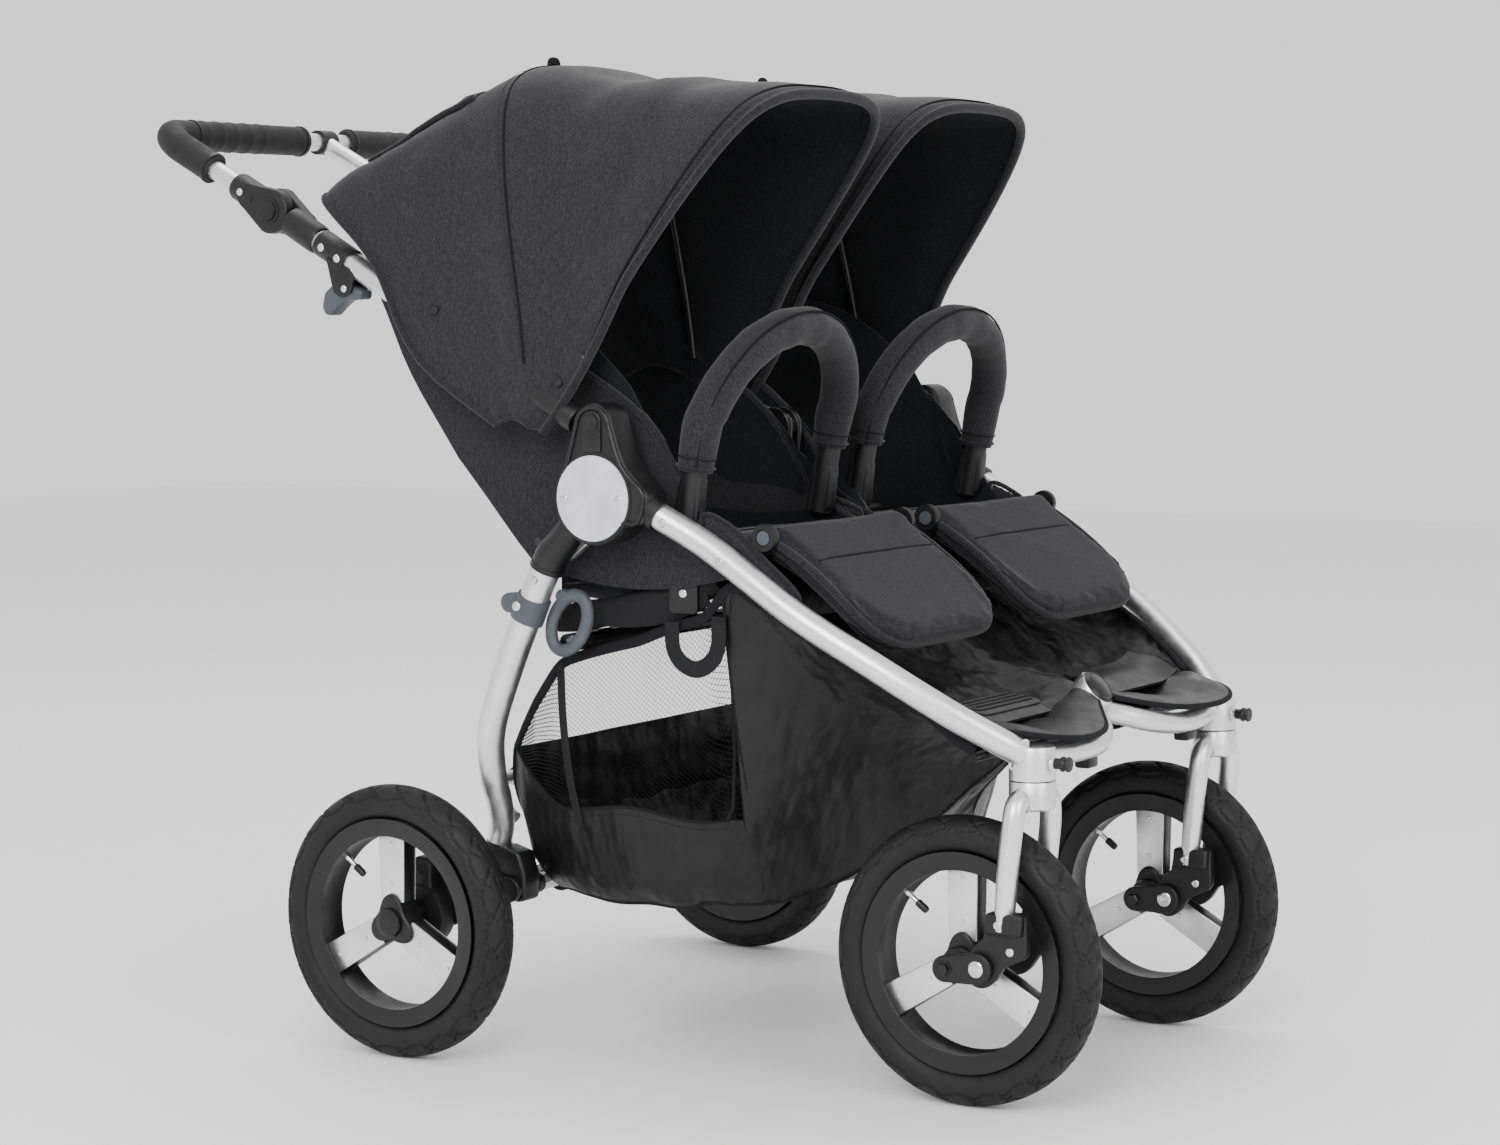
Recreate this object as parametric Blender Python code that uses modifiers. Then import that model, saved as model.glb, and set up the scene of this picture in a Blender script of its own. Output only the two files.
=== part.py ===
"""Side-by-side twin jogging stroller: frame, wheels, joints and the simple solids of its soft parts.

Units are metres, +Z is up and the stroller faces -Y, so its right side is at -X.
The origin is on the floor, at the middle of the stroller's length and width.
"""

import math

import bmesh
import bpy
from mathutils import Matrix, Vector

# ---------------------------------------------------------------- driving dimensions
GAP = 0.0003                                   # between solids that touch

TYRE_RADIUS = 0.1525                           # 12 inch air tyre
TYRE_HALF_WIDTH = 0.0228
TYRE_SECTION = 0.01975                         # half of the tyre's radial height
RIM_EDGE_RADIUS = 0.0970
HUB_RADIUS = 0.021
AXLE_RADIUS = 0.0060
BORE_RADIUS = 0.0066
SPOKE_WIDTH = 0.036
SPOKE_DEPTH = 0.022

REAR_AXLE = Vector((0.352, 0.199, TYRE_RADIUS))
FRONT_AXLE = Vector((0.2213, -0.4511, TYRE_RADIUS))
SWIVEL_Y = -0.5268                             # the caster axis, 76 mm ahead of the front axle
CROWN_TOP = 0.3475
CROWN_BOTTOM = 0.318
HEAD_RADIUS = 0.0243
HEAD_TOP = 0.3845

POST_FOLD = Vector((0.345, -0.084, 0.693))     # handle posts fold about this point of the side hub
LEG_FOLD = Vector((0.349, -0.084, 0.631))      # rear legs fold about the hub's centre
HUB_INNER, HUB_OUTER = 0.327, 0.370
EYE_INNER, EYE_OUTER = 0.315, 0.3265           # hinge eyes lie just inside the hubs

HANDLE_PIVOT = Vector((0.290, 0.408, 0.942))
BAR_Y, BAR_Z = 0.584, 1.035
BAR_RADIUS = 0.0110
GRIP_RADIUS = 0.0200
POST_RADIUS = 0.0135
PIVOT_DISC_RADIUS = 0.026

RAIL_RADIUS = 0.0143
LEG_RADIUS = 0.0145
AXLE_TUBE = Vector((0.0, 0.089, 0.188))
AXLE_TUBE_RADIUS = 0.0100

SEAT_CENTRE = 0.1725                           # each seat, canopy and bumper bar is centred here
RECLINE_AXIS = (0.030, 0.578)                  # y, z of the seat back's hinge
CALF_AXIS = (-0.262, 0.592)                    # y, z of the calf flap's hinge
BUMPER_AXIS = (-0.163, 0.612)                  # y, z of the bumper bar's pivots
CANOPY_AXIS = (0.0, 0.710)                     # y, z of the canopy bows' hinge
MID_BOW_ANGLE, FRONT_BOW_ANGLE = 79.5, 127.0   # degrees from +Y, turning towards +Z

SIDES = (("right", -1), ("left", 1))

# ---------------------------------------------------------------- scene set-up
for thing in list(bpy.data.objects):
    bpy.data.objects.remove(thing)

parts = bpy.data.collections.new("twin_jogging_stroller")
cutters = bpy.data.collections.new("cutters")
bpy.context.scene.collection.children.link(parts)
bpy.context.scene.collection.children.link(cutters)


def make_material(name, color, roughness, metallic=0.0):
    mat = bpy.data.materials.new(name)
    mat.use_nodes = True
    shader = mat.node_tree.nodes["Principled BSDF"]
    shader.inputs["Base Color"].default_value = (*color, 1.0)
    shader.inputs["Roughness"].default_value = roughness
    shader.inputs["Metallic"].default_value = metallic
    return mat


SILVER = make_material("silver_aluminium", (0.72, 0.72, 0.73), 0.38, 0.9)
BLACK = make_material("black_plastic", (0.018, 0.018, 0.019), 0.45)
GREY = make_material("grey_plastic", (0.085, 0.095, 0.10), 0.5)
RUBBER = make_material("tyre_rubber", (0.022, 0.022, 0.022), 0.75)
FOAM = make_material("grip_foam", (0.02, 0.02, 0.02), 0.85)
MELANGE = make_material("charcoal_melange", (0.055, 0.055, 0.065), 0.95)
LINING = make_material("black_lining", (0.012, 0.013, 0.016), 0.9)
RIPSTOP = make_material("black_ripstop", (0.010, 0.010, 0.011), 0.4)
BLACK_TUBE = make_material("black_tube", (0.02, 0.02, 0.02), 0.35, 0.3)


# ---------------------------------------------------------------- modelling helpers
def add_object(name, data, material=None, collection=parts):
    obj = bpy.data.objects.new(name, data)
    collection.objects.link(obj)
    if material is not None:
        obj.data.materials.clear()
        obj.data.materials.append(material)
    return obj


def mirrored(point, side):
    return Vector((point[0] * side, point[1], point[2]))


def smooth_line(points, steps):
    """Points of a smooth curve through the given points, with so many steps between two of them."""
    pts = [Vector(p) for p in points]
    ends = [2 * pts[0] - pts[1]] + pts + [2 * pts[-1] - pts[-2]]
    line = []
    for before, here, there, after in zip(ends, ends[1:], ends[2:], ends[3:]):
        for k in range(steps):
            t = k / steps
            line.append(0.5 * (2 * here + (there - before) * t
                               + (2 * before - 5 * here + 4 * there - after) * t * t
                               + (3 * here - before - 3 * there + after) * t ** 3))
    return line + [pts[-1]]


def tube(name, points, radius, material, steps=4, resolution=4, taper=None):
    """A round tube along a smooth line: a curve object with filled caps."""
    line = smooth_line(points, steps)
    data = bpy.data.curves.new(name, "CURVE")
    data.dimensions = "3D"
    data.bevel_depth = radius
    data.bevel_resolution = resolution
    data.use_fill_caps = True
    spline = data.splines.new("POLY")
    spline.points.add(len(line) - 1)
    for i, p in enumerate(line):
        spline.points[i].co = (*p, 1.0)
        if taper:
            spline.points[i].radius = taper[0] + (taper[1] - taper[0]) * i / (len(line) - 1)
    return add_object(name, data, material)


def outline_plate(name, outline, x_low, x_high, material):
    """A flat outline in the YZ plane, as a filled 2D curve extruded along X."""
    data = bpy.data.curves.new(name, "CURVE")
    data.dimensions = "2D"
    data.fill_mode = "BOTH"
    data.extrude = abs(x_high - x_low) / 2
    spline = data.splines.new("POLY")
    spline.points.add(len(outline) - 1)
    for i, (y, z) in enumerate(outline):
        spline.points[i].co = (y, z, 0.0, 1.0)
    spline.use_cyclic_u = True
    obj = add_object(name, data, material)
    obj.rotation_euler = (math.pi / 2, 0.0, math.pi / 2)
    obj.location.x = (x_low + x_high) / 2
    return obj


def arc(centre, radius, start, stop, count):
    """Points of an arc in the YZ plane, angles in degrees from +Y towards +Z."""
    points = []
    for k in range(count):
        a = math.radians(start + (stop - start) * k / (count - 1))
        points.append((centre[0] + radius * math.cos(a), centre[1] + radius * math.sin(a)))
    return points


def cylinder(name, centre, radius, length, axis, material, sides=24, collection=parts):
    mesh = bpy.data.meshes.new(name)
    bm = bmesh.new()
    bmesh.ops.create_cone(bm, cap_ends=True, segments=sides, radius1=radius, radius2=radius, depth=length)
    bm.transform(Vector((0, 0, 1)).rotation_difference(Vector(axis)).to_matrix().to_4x4())
    bm.to_mesh(mesh)
    bm.free()
    obj = add_object(name, mesh, material, collection)
    obj.location = centre
    return obj


def box(name, low, high, material):
    mesh = bpy.data.meshes.new(name)
    bm = bmesh.new()
    size = [h - l for l, h in zip(low, high)]
    bmesh.ops.create_cube(bm, size=1.0, matrix=Matrix.Diagonal((*size, 1.0)))
    bm.to_mesh(mesh)
    bm.free()
    obj = add_object(name, mesh, material)
    obj.location = [(l + h) / 2 for l, h in zip(low, high)]
    return obj


def baked(obj):
    """The object as a plain closed mesh in world space, its modifiers applied."""
    bpy.context.view_layer.update()
    evaluated = obj.evaluated_get(bpy.context.evaluated_depsgraph_get())
    mesh = bpy.data.meshes.new_from_object(evaluated)
    mesh.transform(obj.matrix_world)
    bm = bmesh.new()
    bm.from_mesh(mesh)
    bmesh.ops.remove_doubles(bm, verts=bm.verts, dist=0.00002)
    bmesh.ops.recalc_face_normals(bm, faces=bm.faces)
    bm.to_mesh(mesh)
    bm.free()
    material = obj.data.materials[0] if obj.data.materials else None
    name = obj.name
    bpy.data.objects.remove(obj)
    return add_object(name, mesh, material)


def combine(target, others, operation="UNION"):
    """Joins the others to the target, or cuts them from it, and bakes the result."""
    target = baked(target)
    for other in others:
        other = baked(other)
        modifier = target.modifiers.new(operation.lower(), "BOOLEAN")
        modifier.operation = operation
        modifier.solver = "EXACT"
        modifier.object = other
        target = baked(target)
        bpy.data.objects.remove(other)
    return target


def round_shading(obj, angle=35.0):
    if obj.type == "MESH":
        obj.data.shade_smooth()
        obj.data.set_sharp_from_angle(angle=math.radians(angle))
    return obj


def set_origin(obj, point):
    """Moves a baked object's origin to a point of its joint's axis, its shape staying in place."""
    if obj.type != "MESH":
        obj = baked(obj)
    shift = Vector(point) - obj.location
    obj.data.transform(Matrix.Translation(-shift))
    obj.location = Vector(point)
    return obj


def turned(name, profile, material, steps=40, angle=None):
    """A ring or cap turned about X from a closed or open profile of (x, radius) points."""
    mesh = bpy.data.meshes.new(name)
    bm = bmesh.new()
    # the profile runs down the outer side of a shape standing on Z, and is then laid along X
    verts = [bm.verts.new((radius, 0.0, along)) for along, radius in profile]
    for first, second in zip(verts, verts[1:]):
        bm.edges.new((first, second))
    if angle == "closed":
        bm.edges.new((verts[-1], verts[0]))
    bm.to_mesh(mesh)
    bm.free()
    obj = add_object(name, mesh, material)
    screw = obj.modifiers.new("screw", "SCREW")
    screw.axis = "Z"
    screw.steps = steps
    screw.render_steps = steps
    screw.use_merge_vertices = True
    screw.merge_threshold = 0.00005
    screw.use_normal_calculate = True
    obj.rotation_euler = (0.0, math.pi / 2, 0.0)
    return obj


def sheet(name, rows, thickness, material, close_ends=False):
    """A soft shell: a grid of points made solid. close_ends fills the first and last rows."""
    mesh = bpy.data.meshes.new(name)
    bm = bmesh.new()
    grid = [[bm.verts.new(p) for p in row] for row in rows]
    for row, following in zip(grid, grid[1:]):
        for a, b, c, d in zip(row, row[1:], following[1:], following):
            bm.faces.new((a, b, c, d))
    if close_ends:
        bm.faces.new(grid[0])
        bm.faces.new(reversed(grid[-1]))
    bmesh.ops.recalc_face_normals(bm, faces=bm.faces)
    bm.to_mesh(mesh)
    bm.free()
    obj = add_object(name, mesh, material)
    solidify = obj.modifiers.new("cloth", "SOLIDIFY")
    solidify.thickness = thickness
    solidify.offset = 0.0
    solidify.use_even_offset = False
    return obj


def along(direction_degrees):
    a = math.radians(direction_degrees)
    return Vector((0.0, math.cos(a), math.sin(a)))


def on_axis(side, axis, x=SEAT_CENTRE):
    return (side * x, axis[0], axis[1])


# ---------------------------------------------------------------- wheels
def make_tyre(name, centre):
    bpy.ops.mesh.primitive_torus_add(major_segments=36, minor_segments=10,
                                     major_radius=TYRE_RADIUS - TYRE_SECTION, minor_radius=TYRE_SECTION,
                                     rotation=(0.0, math.pi / 2, 0.0))
    obj = bpy.context.active_object
    for collection in list(obj.users_collection):
        collection.objects.unlink(obj)
    parts.objects.link(obj)
    obj.name = name
    widen = Matrix.Diagonal((TYRE_HALF_WIDTH / TYRE_SECTION, 1.0, 1.0, 1.0))
    obj.data.transform(widen @ obj.rotation_euler.to_matrix().to_4x4())
    obj.rotation_euler = (0.0, 0.0, 0.0)
    obj.location = centre
    obj.data.materials.append(RUBBER)
    return round_shading(obj)


def make_rim(name, centre, hub_low, hub_high):
    """Rim ring, three flat spokes and the hub barrel with its axle bore."""
    face = 0.0188
    profile = [(face, 0.1165), (face, RIM_EDGE_RADIUS), (-face, RIM_EDGE_RADIUS), (-face, 0.1165),
               (-0.010, 0.1142), (0.0, 0.1126), (0.010, 0.1142)]
    ring = turned(name, profile, SILVER, steps=32, angle="closed")
    pieces = []
    for k in range(3):
        direction = along(90 + 120 * k)
        middle = direction * 0.059
        spoke = box(f"{name}_spoke_{k}", (-SPOKE_DEPTH / 2, -SPOKE_WIDTH / 2, -0.0405),
                    (SPOKE_DEPTH / 2, SPOKE_WIDTH / 2, 0.0405), SILVER)
        spoke.rotation_euler = (math.radians(120 * k), 0.0, 0.0)
        spoke.location = middle
        pieces.append(spoke)
    pieces.append(cylinder(f"{name}_barrel", ((hub_low + hub_high) / 2, 0, 0), HUB_RADIUS,
                           hub_high - hub_low, (1, 0, 0), SILVER))
    rim = combine(ring, pieces)
    bore = cylinder(f"{name}_bore", ((hub_low + hub_high) / 2, 0, 0), BORE_RADIUS,
                    hub_high - hub_low + 0.01, (1, 0, 0), SILVER)
    rim = combine(rim, [bore], "DIFFERENCE")
    rim.location = centre
    return round_shading(rim)


for side_name, side in SIDES:
    rear_centre = mirrored(REAR_AXLE, side)
    front_centre = mirrored(FRONT_AXLE, side)
    make_tyre(f"rear_tyre_{side_name}", rear_centre)
    make_tyre(f"front_tyre_{side_name}", front_centre)
    rear_low, rear_high = sorted((side * -0.031, side * 0.012))
    make_rim(f"rear_rim_{side_name}", rear_centre, rear_low, rear_high)
    make_rim(f"front_rim_{side_name}", front_centre, -0.0265, 0.0265)
    # the release cap stands 3 mm clear of the hub, its travel, and hides the axle's end
    cap = cylinder(f"rear_hub_cap_{side_name}", (side * 0.0185, 0, 0), 0.0165, 0.0070, (1, 0, 0), BLACK)
    bevel = cap.modifiers.new("round", "BEVEL")
    bevel.width = 0.002
    bevel.segments = 2
    bevel.limit_method = "ANGLE"
    cap.location = cap.location + rear_centre
    round_shading(cap)


# ---------------------------------------------------------------- front casters
ARM_PIVOT = (-0.489, 0.156)
FORK_BRACKET = [(-0.4995, 0.212), (-0.5394, 0.212), (-0.5390, 0.172), (-0.5310, 0.164), (-0.5134, 0.159),
                (-0.5040, 0.146), (-0.4920, 0.1350), (-0.4800, 0.1370), (-0.4735, 0.150), (-0.4760, 0.166),
                (-0.4850, 0.178), (-0.4960, 0.190)]


def make_fork(side_name, side):
    name = f"caster_fork_{side_name}"
    x = side * FRONT_AXLE.x
    crown = cylinder(name, (x, SWIVEL_Y, (CROWN_TOP + CROWN_BOTTOM) / 2), HEAD_RADIUS,
                     CROWN_TOP - CROWN_BOTTOM, (0, 0, 1), SILVER, 32)
    stem = cylinder(f"{name}_stem", (x, SWIVEL_Y, 0.353), 0.0115, 0.050, (0, 0, 1), SILVER)
    pieces = [stem]
    for out in (-1, 1):
        leg = [(x + out * 0.017, SWIVEL_Y, 0.334), (x + out * 0.035, SWIVEL_Y, 0.326),
               (x + out * 0.0420, SWIVEL_Y + 0.001, 0.302), (x + out * 0.0425, SWIVEL_Y + 0.006, 0.255),
               (x + out * 0.0425, SWIVEL_Y + 0.011, 0.200)]
        pieces.append(tube(f"{name}_leg_{out}", leg, 0.0112, SILVER, steps=3, resolution=3))
        low, high = sorted((x + out * 0.0335, x + out * 0.0445))
        pieces.append(outline_plate(f"{name}_bracket_{out}", FORK_BRACKET, low, high, SILVER))
    fork = combine(crown, pieces)
    return round_shading(set_origin(fork, (x, SWIVEL_Y, CROWN_TOP)))


def make_front_arm(side_name, side):
    """Two trailing links either side of the wheel, joined by the axle that the wheel turns on."""
    name = f"front_arm_{side_name}"
    x = side * FRONT_AXLE.x
    ay, az = FRONT_AXLE.y, FRONT_AXLE.z
    outline = arc(ARM_PIVOT, 0.0165, 100, 260, 7) + arc((ay, az), 0.0125, -80, 80, 7)
    pieces = []
    for out in (-1, 1):
        low, high = sorted((x + out * 0.0448, x + out * 0.0525))
        pieces.append(outline_plate(f"{name}_link_{out}", outline, low, high, BLACK))
    axle = cylinder(name, (x, ay, az), AXLE_RADIUS, 0.094, (1, 0, 0), BLACK, 20)
    arm = combine(axle, pieces)
    return round_shading(set_origin(arm, (x, *ARM_PIVOT)))


def make_lock_knob(side_name, side):
    """Spring plunger that stops the caster from turning: pulled forwards to release."""
    x, z = side * FRONT_AXLE.x, 0.366
    pin = cylinder(f"swivel_lock_{side_name}", (x, SWIVEL_Y - 0.0265, z), 0.0030, 0.021, (0, 1, 0), BLACK, 16)
    head = cylinder(f"swivel_lock_{side_name}_head", (x, SWIVEL_Y - 0.0395, z), 0.0078, 0.008, (0, 1, 0), BLACK, 16)
    neck = cylinder(f"swivel_lock_{side_name}_neck", (x, SWIVEL_Y - 0.0320, z), 0.0050, 0.009, (0, 1, 0), BLACK, 16)
    return round_shading(combine(pin, [neck, head]))


# ---------------------------------------------------------------- fixed front frame
RAIL_LINE = [(0.3489, -0.1560, 0.6142), (0.3385, -0.2150, 0.5800), (0.3336, -0.3102, 0.5175),
             (0.3172, -0.3907, 0.4690), (0.2866, -0.4626, 0.4207), (0.2540, -0.5070, 0.3890),
             (0.2400, -0.5200, 0.3790)]
CROSS_LINE = [(0.1955, -0.5268, 0.3720), (0.1500, -0.5370, 0.3690), (0.1000, -0.5370, 0.3690),
              (0.0550, -0.5230, 0.3760), (0.0200, -0.4990, 0.3870), (0.0, -0.4930, 0.3895)]
SPINE_LINE = [(0.0, -0.4830, 0.4210), (0.0, -0.4500, 0.3930), (0.0, -0.3900, 0.3880), (0.0, -0.3000, 0.4200),
              (0.0, -0.2000, 0.4780), (0.0, -0.1300, 0.5350), (0.0, -0.0840, 0.5880)]


def make_rail(side_name, side):
    name = f"side_rail_{side_name}"
    rail = tube(name, [mirrored(p, side) for p in RAIL_LINE], RAIL_RADIUS, SILVER, steps=3)
    x = side * FRONT_AXLE.x
    head = cylinder(f"{name}_head", (x, SWIVEL_Y, (CROWN_TOP + GAP + HEAD_TOP) / 2), HEAD_RADIUS,
                    HEAD_TOP - CROWN_TOP - GAP, (0, 0, 1), SILVER, 32)
    rail = combine(rail, [head])
    bore = cylinder(f"{name}_bore", (x, SWIVEL_Y, 0.355), 0.0120, 0.049, (0, 0, 1), SILVER, 24)
    pin_hole = cylinder(f"{name}_pin_hole", (x, SWIVEL_Y - 0.020, 0.366), 0.0034, 0.020, (0, 1, 0), SILVER, 16)
    rail = combine(rail, [bore, pin_hole], "DIFFERENCE")
    return round_shading(rail)


def make_side_hub(side_name, side):
    """Moulded hub that the rail ends in and that the posts and the rear legs fold on."""
    centre = (LEG_FOLD.y, LEG_FOLD.z)
    lobe = (POST_FOLD.y, POST_FOLD.z + 0.015)
    outline = (arc(lobe, 0.0235, 5, 175, 11)
               + [(-0.117, 0.682), (-0.127, 0.6640), (-0.141, 0.6490), (-0.1555, 0.6350), (-0.1460, 0.6025)]
               + arc(centre, 0.0500, 215, 325, 8)
               + arc(centre, 0.0470, -15, 30, 4))
    low, high = sorted((side * HUB_INNER, side * HUB_OUTER))
    hub = baked(outline_plate(f"side_hub_{side_name}", outline, low, high, BLACK))
    bevel = hub.modifiers.new("round", "BEVEL")
    bevel.width = 0.004
    bevel.segments = 2
    bevel.limit_method = "ANGLE"
    bevel.angle_limit = math.radians(50)
    return round_shading(baked(hub))


def make_centre_hub():
    """Clevis between the seats that the centre post folds in."""
    fold = (POST_FOLD.y, POST_FOLD.z)
    outline = arc(fold, 0.020, 0, 180, 9) + [(-0.104, 0.600), (-0.064, 0.600)]
    cheeks = [outline_plate(f"centre_hub_cheek_{s}", outline, *sorted((s * 0.0055, s * 0.0135)), BLACK)
              for s in (-1, 1)]
    block = box("centre_hub", (-0.008, -0.103, 0.6005), (0.008, -0.065, 0.655), BLACK)
    return round_shading(combine(block, cheeks))


# ---------------------------------------------------------------- rear legs
LEG_LINE = [(0.3490, -0.0180, 0.5720), (0.3470, 0.0120, 0.5140), (0.3450, 0.0470, 0.4400),
            (0.3380, 0.0760, 0.3720), (0.3180, 0.0900, 0.3180), (0.2950, 0.1000, 0.2880),
            (0.2760, 0.1110, 0.2580), (0.2710, 0.1190, 0.2340), (0.2710, 0.1230, 0.2150)]
LEG_EYE_END = (-0.0180, 0.5715)
CASTING = [(0.074, 0.176), (0.083, 0.172), (0.110, 0.175), (0.138, 0.200), (0.139, 0.226), (0.104, 0.234),
           (0.082, 0.228), (0.074, 0.205)]


def eye_outline(pivot, end, radius, end_radius):
    """A hinge eye and its arm: two round ends joined by straight sides."""
    angle = math.degrees(math.atan2(end[1] - pivot[1], end[0] - pivot[0]))
    return arc(pivot, radius, angle + 90, angle + 270, 9) + arc(end, end_radius, angle - 90, angle + 90, 7)


def make_rear_leg(side_name, side):
    name = f"rear_leg_{side_name}"
    leg = tube(name, [mirrored(p, side) for p in LEG_LINE], LEG_RADIUS, SILVER, steps=2, taper=(1.16, 0.90))
    pivot = (LEG_FOLD.y, LEG_FOLD.z)
    eye = outline_plate(f"{name}_eye", eye_outline(pivot, LEG_EYE_END, 0.018, 0.012),
                        *sorted((side * EYE_INNER, side * EYE_OUTER)), SILVER)
    boss = cylinder(f"{name}_boss", (side * 0.3330, *LEG_EYE_END), 0.0110, 0.034, (1, 0, 0), SILVER)
    casting = outline_plate(f"{name}_casting", CASTING, *sorted((side * 0.2560, side * 0.2860)), BLACK)
    leg = combine(leg, [eye, boss, casting])
    return round_shading(set_origin(leg, mirrored(LEG_FOLD, side)))


def make_rear_arm(side_name, side):
    """Trailing suspension arm with the brake drum and the stub axle of the rear wheel."""
    name = f"rear_arm_{side_name}"
    ay, az = REAR_AXLE.y, REAR_AXLE.z
    pivot = (AXLE_TUBE.y, AXLE_TUBE.z)
    outline = (arc(pivot, 0.014, 110, 250, 6) + arc((ay, az), 0.024, -100, 20, 7)
               + arc((ay - 0.012, az + 0.045), 0.013, 10, 130, 6))
    plate = outline_plate(name, outline, *sorted((side * 0.2866, side * 0.2960)), BLACK)
    drum = cylinder(f"{name}_drum", (side * 0.3080, ay, az), 0.036, 0.0250, (1, 0, 0), BLACK, 28)
    axle = cylinder(f"{name}_axle", (side * 0.3330, ay, az), AXLE_RADIUS, 0.0600, (1, 0, 0), BLACK, 20)
    arm = combine(plate, [drum, axle])
    return round_shading(set_origin(arm, (side * 0.29, *pivot)))


def make_brake_pedal():
    """Foot pedal that clips round the rear axle tube."""
    x = -0.170
    ring = cylinder("brake_pedal", (x, AXLE_TUBE.y, AXLE_TUBE.z), 0.0165, 0.060, (1, 0, 0), BLACK)
    paddle = box("brake_pedal_paddle", (x - 0.030, AXLE_TUBE.y + 0.010, AXLE_TUBE.z - 0.010),
                 (x + 0.030, AXLE_TUBE.y + 0.072, AXLE_TUBE.z + 0.001), BLACK)
    pedal = combine(ring, [paddle])
    bore = cylinder("brake_pedal_bore", (x, AXLE_TUBE.y, AXLE_TUBE.z), AXLE_TUBE_RADIUS + 0.0006, 0.080,
                    (1, 0, 0), BLACK)
    pedal = combine(pedal, [bore], "DIFFERENCE")
    return round_shading(set_origin(pedal, (x, AXLE_TUBE.y, AXLE_TUBE.z)))


def make_fold_hook():
    """Loop that catches the frame when it is folded. It hangs from the right leg."""
    pivot = (-0.0200, 0.5230)
    loop_centre, half_height, half_width = (-0.0280, 0.4945), 0.036, 0.020
    outer, inner = [], []
    for k in range(20):
        a = math.radians(18 * k)
        c, s = math.cos(a), math.sin(a)
        outer.append((loop_centre[0] + half_width * c + 0.25 * half_height * s, loop_centre[1] + half_height * s))
        inner.append((loop_centre[0] + 0.52 * half_width * c + 0.14 * half_height * s,
                      loop_centre[1] + 0.58 * half_height * s))
    loop = outline_plate("fold_hook", outer, -0.3385, -0.3300, GREY)
    stub = cylinder("fold_hook_stub", (-0.33425, *pivot), 0.0075, 0.009, (1, 0, 0), GREY, 16)
    hole = outline_plate("fold_hook_hole", inner, -0.3450, -0.3260, GREY)
    hook = combine(combine(loop, [stub]), [hole], "DIFFERENCE")
    return round_shading(set_origin(hook, (-0.3355, *pivot)))


# ---------------------------------------------------------------- folding upper frame
def post_point(s, side):
    """A point on the post's centre line, s metres from the fold pivot."""
    start, end = mirrored(POST_FOLD, side), mirrored(HANDLE_PIVOT, side)
    return start + (end - start).normalized() * s


POST_LENGTH = (HANDLE_PIVOT - POST_FOLD).length
POST_START = 0.0415


def make_post(side_name, side):
    name = f"handle_post_{side_name}"
    top = POST_LENGTH - PIVOT_DISC_RADIUS - 0.0030
    post = tube(name, [post_point(POST_START, side), post_point(top, side)], POST_RADIUS, SILVER, steps=1)
    collar = tube(f"{name}_collar", [post_point(POST_LENGTH - 0.075, side), post_point(top, side)],
                  0.0170, BLACK, steps=1)
    neck = post_point(POST_LENGTH - 0.038, side)
    disc = outline_plate(f"{name}_disc", eye_outline((HANDLE_PIVOT.y, HANDLE_PIVOT.z), (neck.y, neck.z),
                                                     PIVOT_DISC_RADIUS, 0.014),
                         *sorted((side * 0.2755, side * 0.2897)), BLACK)
    end = post_point(0.0530, side)
    eye = outline_plate(f"{name}_eye", eye_outline((POST_FOLD.y, POST_FOLD.z), (end.y, end.z), 0.017, 0.0095),
                        *sorted((side * EYE_INNER, side * EYE_OUTER)), SILVER)
    boss = cylinder(f"{name}_boss", (side * 0.3290, end.y, end.z), 0.0090, 0.026, (1, 0, 0), SILVER)
    post = combine(post, [collar, disc, eye, boss])
    return round_shading(set_origin(post, mirrored(POST_FOLD, side)))


def make_centre_post():
    name = "centre_post"
    start = Vector((0.0, POST_FOLD.y, POST_FOLD.z))
    end = Vector((0.0, HANDLE_PIVOT.y, HANDLE_PIVOT.z))
    direction = (end - start).normalized()
    length = (end - start).length
    top = length - PIVOT_DISC_RADIUS - 0.0008
    post = tube(name, [start + direction * 0.034, start + direction * top], 0.0120, SILVER, steps=1)
    eye_end = start + direction * 0.044
    eye = outline_plate(f"{name}_eye", eye_outline((start.y, start.z), (eye_end.y, eye_end.z), 0.0165, 0.009),
                        -0.0050, 0.0050, SILVER)
    neck = start + direction * (length - 0.038)
    disc = outline_plate(f"{name}_disc", eye_outline((end.y, end.z), (neck.y, neck.z), PIVOT_DISC_RADIUS, 0.010),
                         -0.0137, -0.0007, BLACK)
    post = combine(post, [eye, disc])
    return round_shading(set_origin(post, start))


def make_fold_lever(side_name, side):
    """Squeeze lever under the post that releases the fold."""
    on_post = post_point(0.425, side)
    pivot = (on_post.y - 0.004, on_post.z - 0.031)
    outline = [(pivot[0] - 0.022, pivot[1] - 0.004), (pivot[0] - 0.018, pivot[1] - 0.013),
               (pivot[0] + 0.006, pivot[1] - 0.014), (pivot[0] + 0.022, pivot[1] - 0.030),
               (pivot[0] + 0.036, pivot[1] - 0.026), (pivot[0] + 0.034, pivot[1] - 0.004),
               (pivot[0] + 0.016, pivot[1] + 0.010), (pivot[0] - 0.004, pivot[1] + 0.004)]
    lever = baked(outline_plate(f"fold_lever_{side_name}", outline, on_post.x - 0.011, on_post.x + 0.011, GREY))
    return round_shading(set_origin(lever, (on_post.x, *pivot)))


# ---------------------------------------------------------------- handlebar
ARM_ANGLE = math.degrees(math.atan2(BAR_Z - HANDLE_PIVOT.z, BAR_Y - HANDLE_PIVOT.y))
BAR_CORNER = 0.262                               # where the bend meets the straight bar


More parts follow.
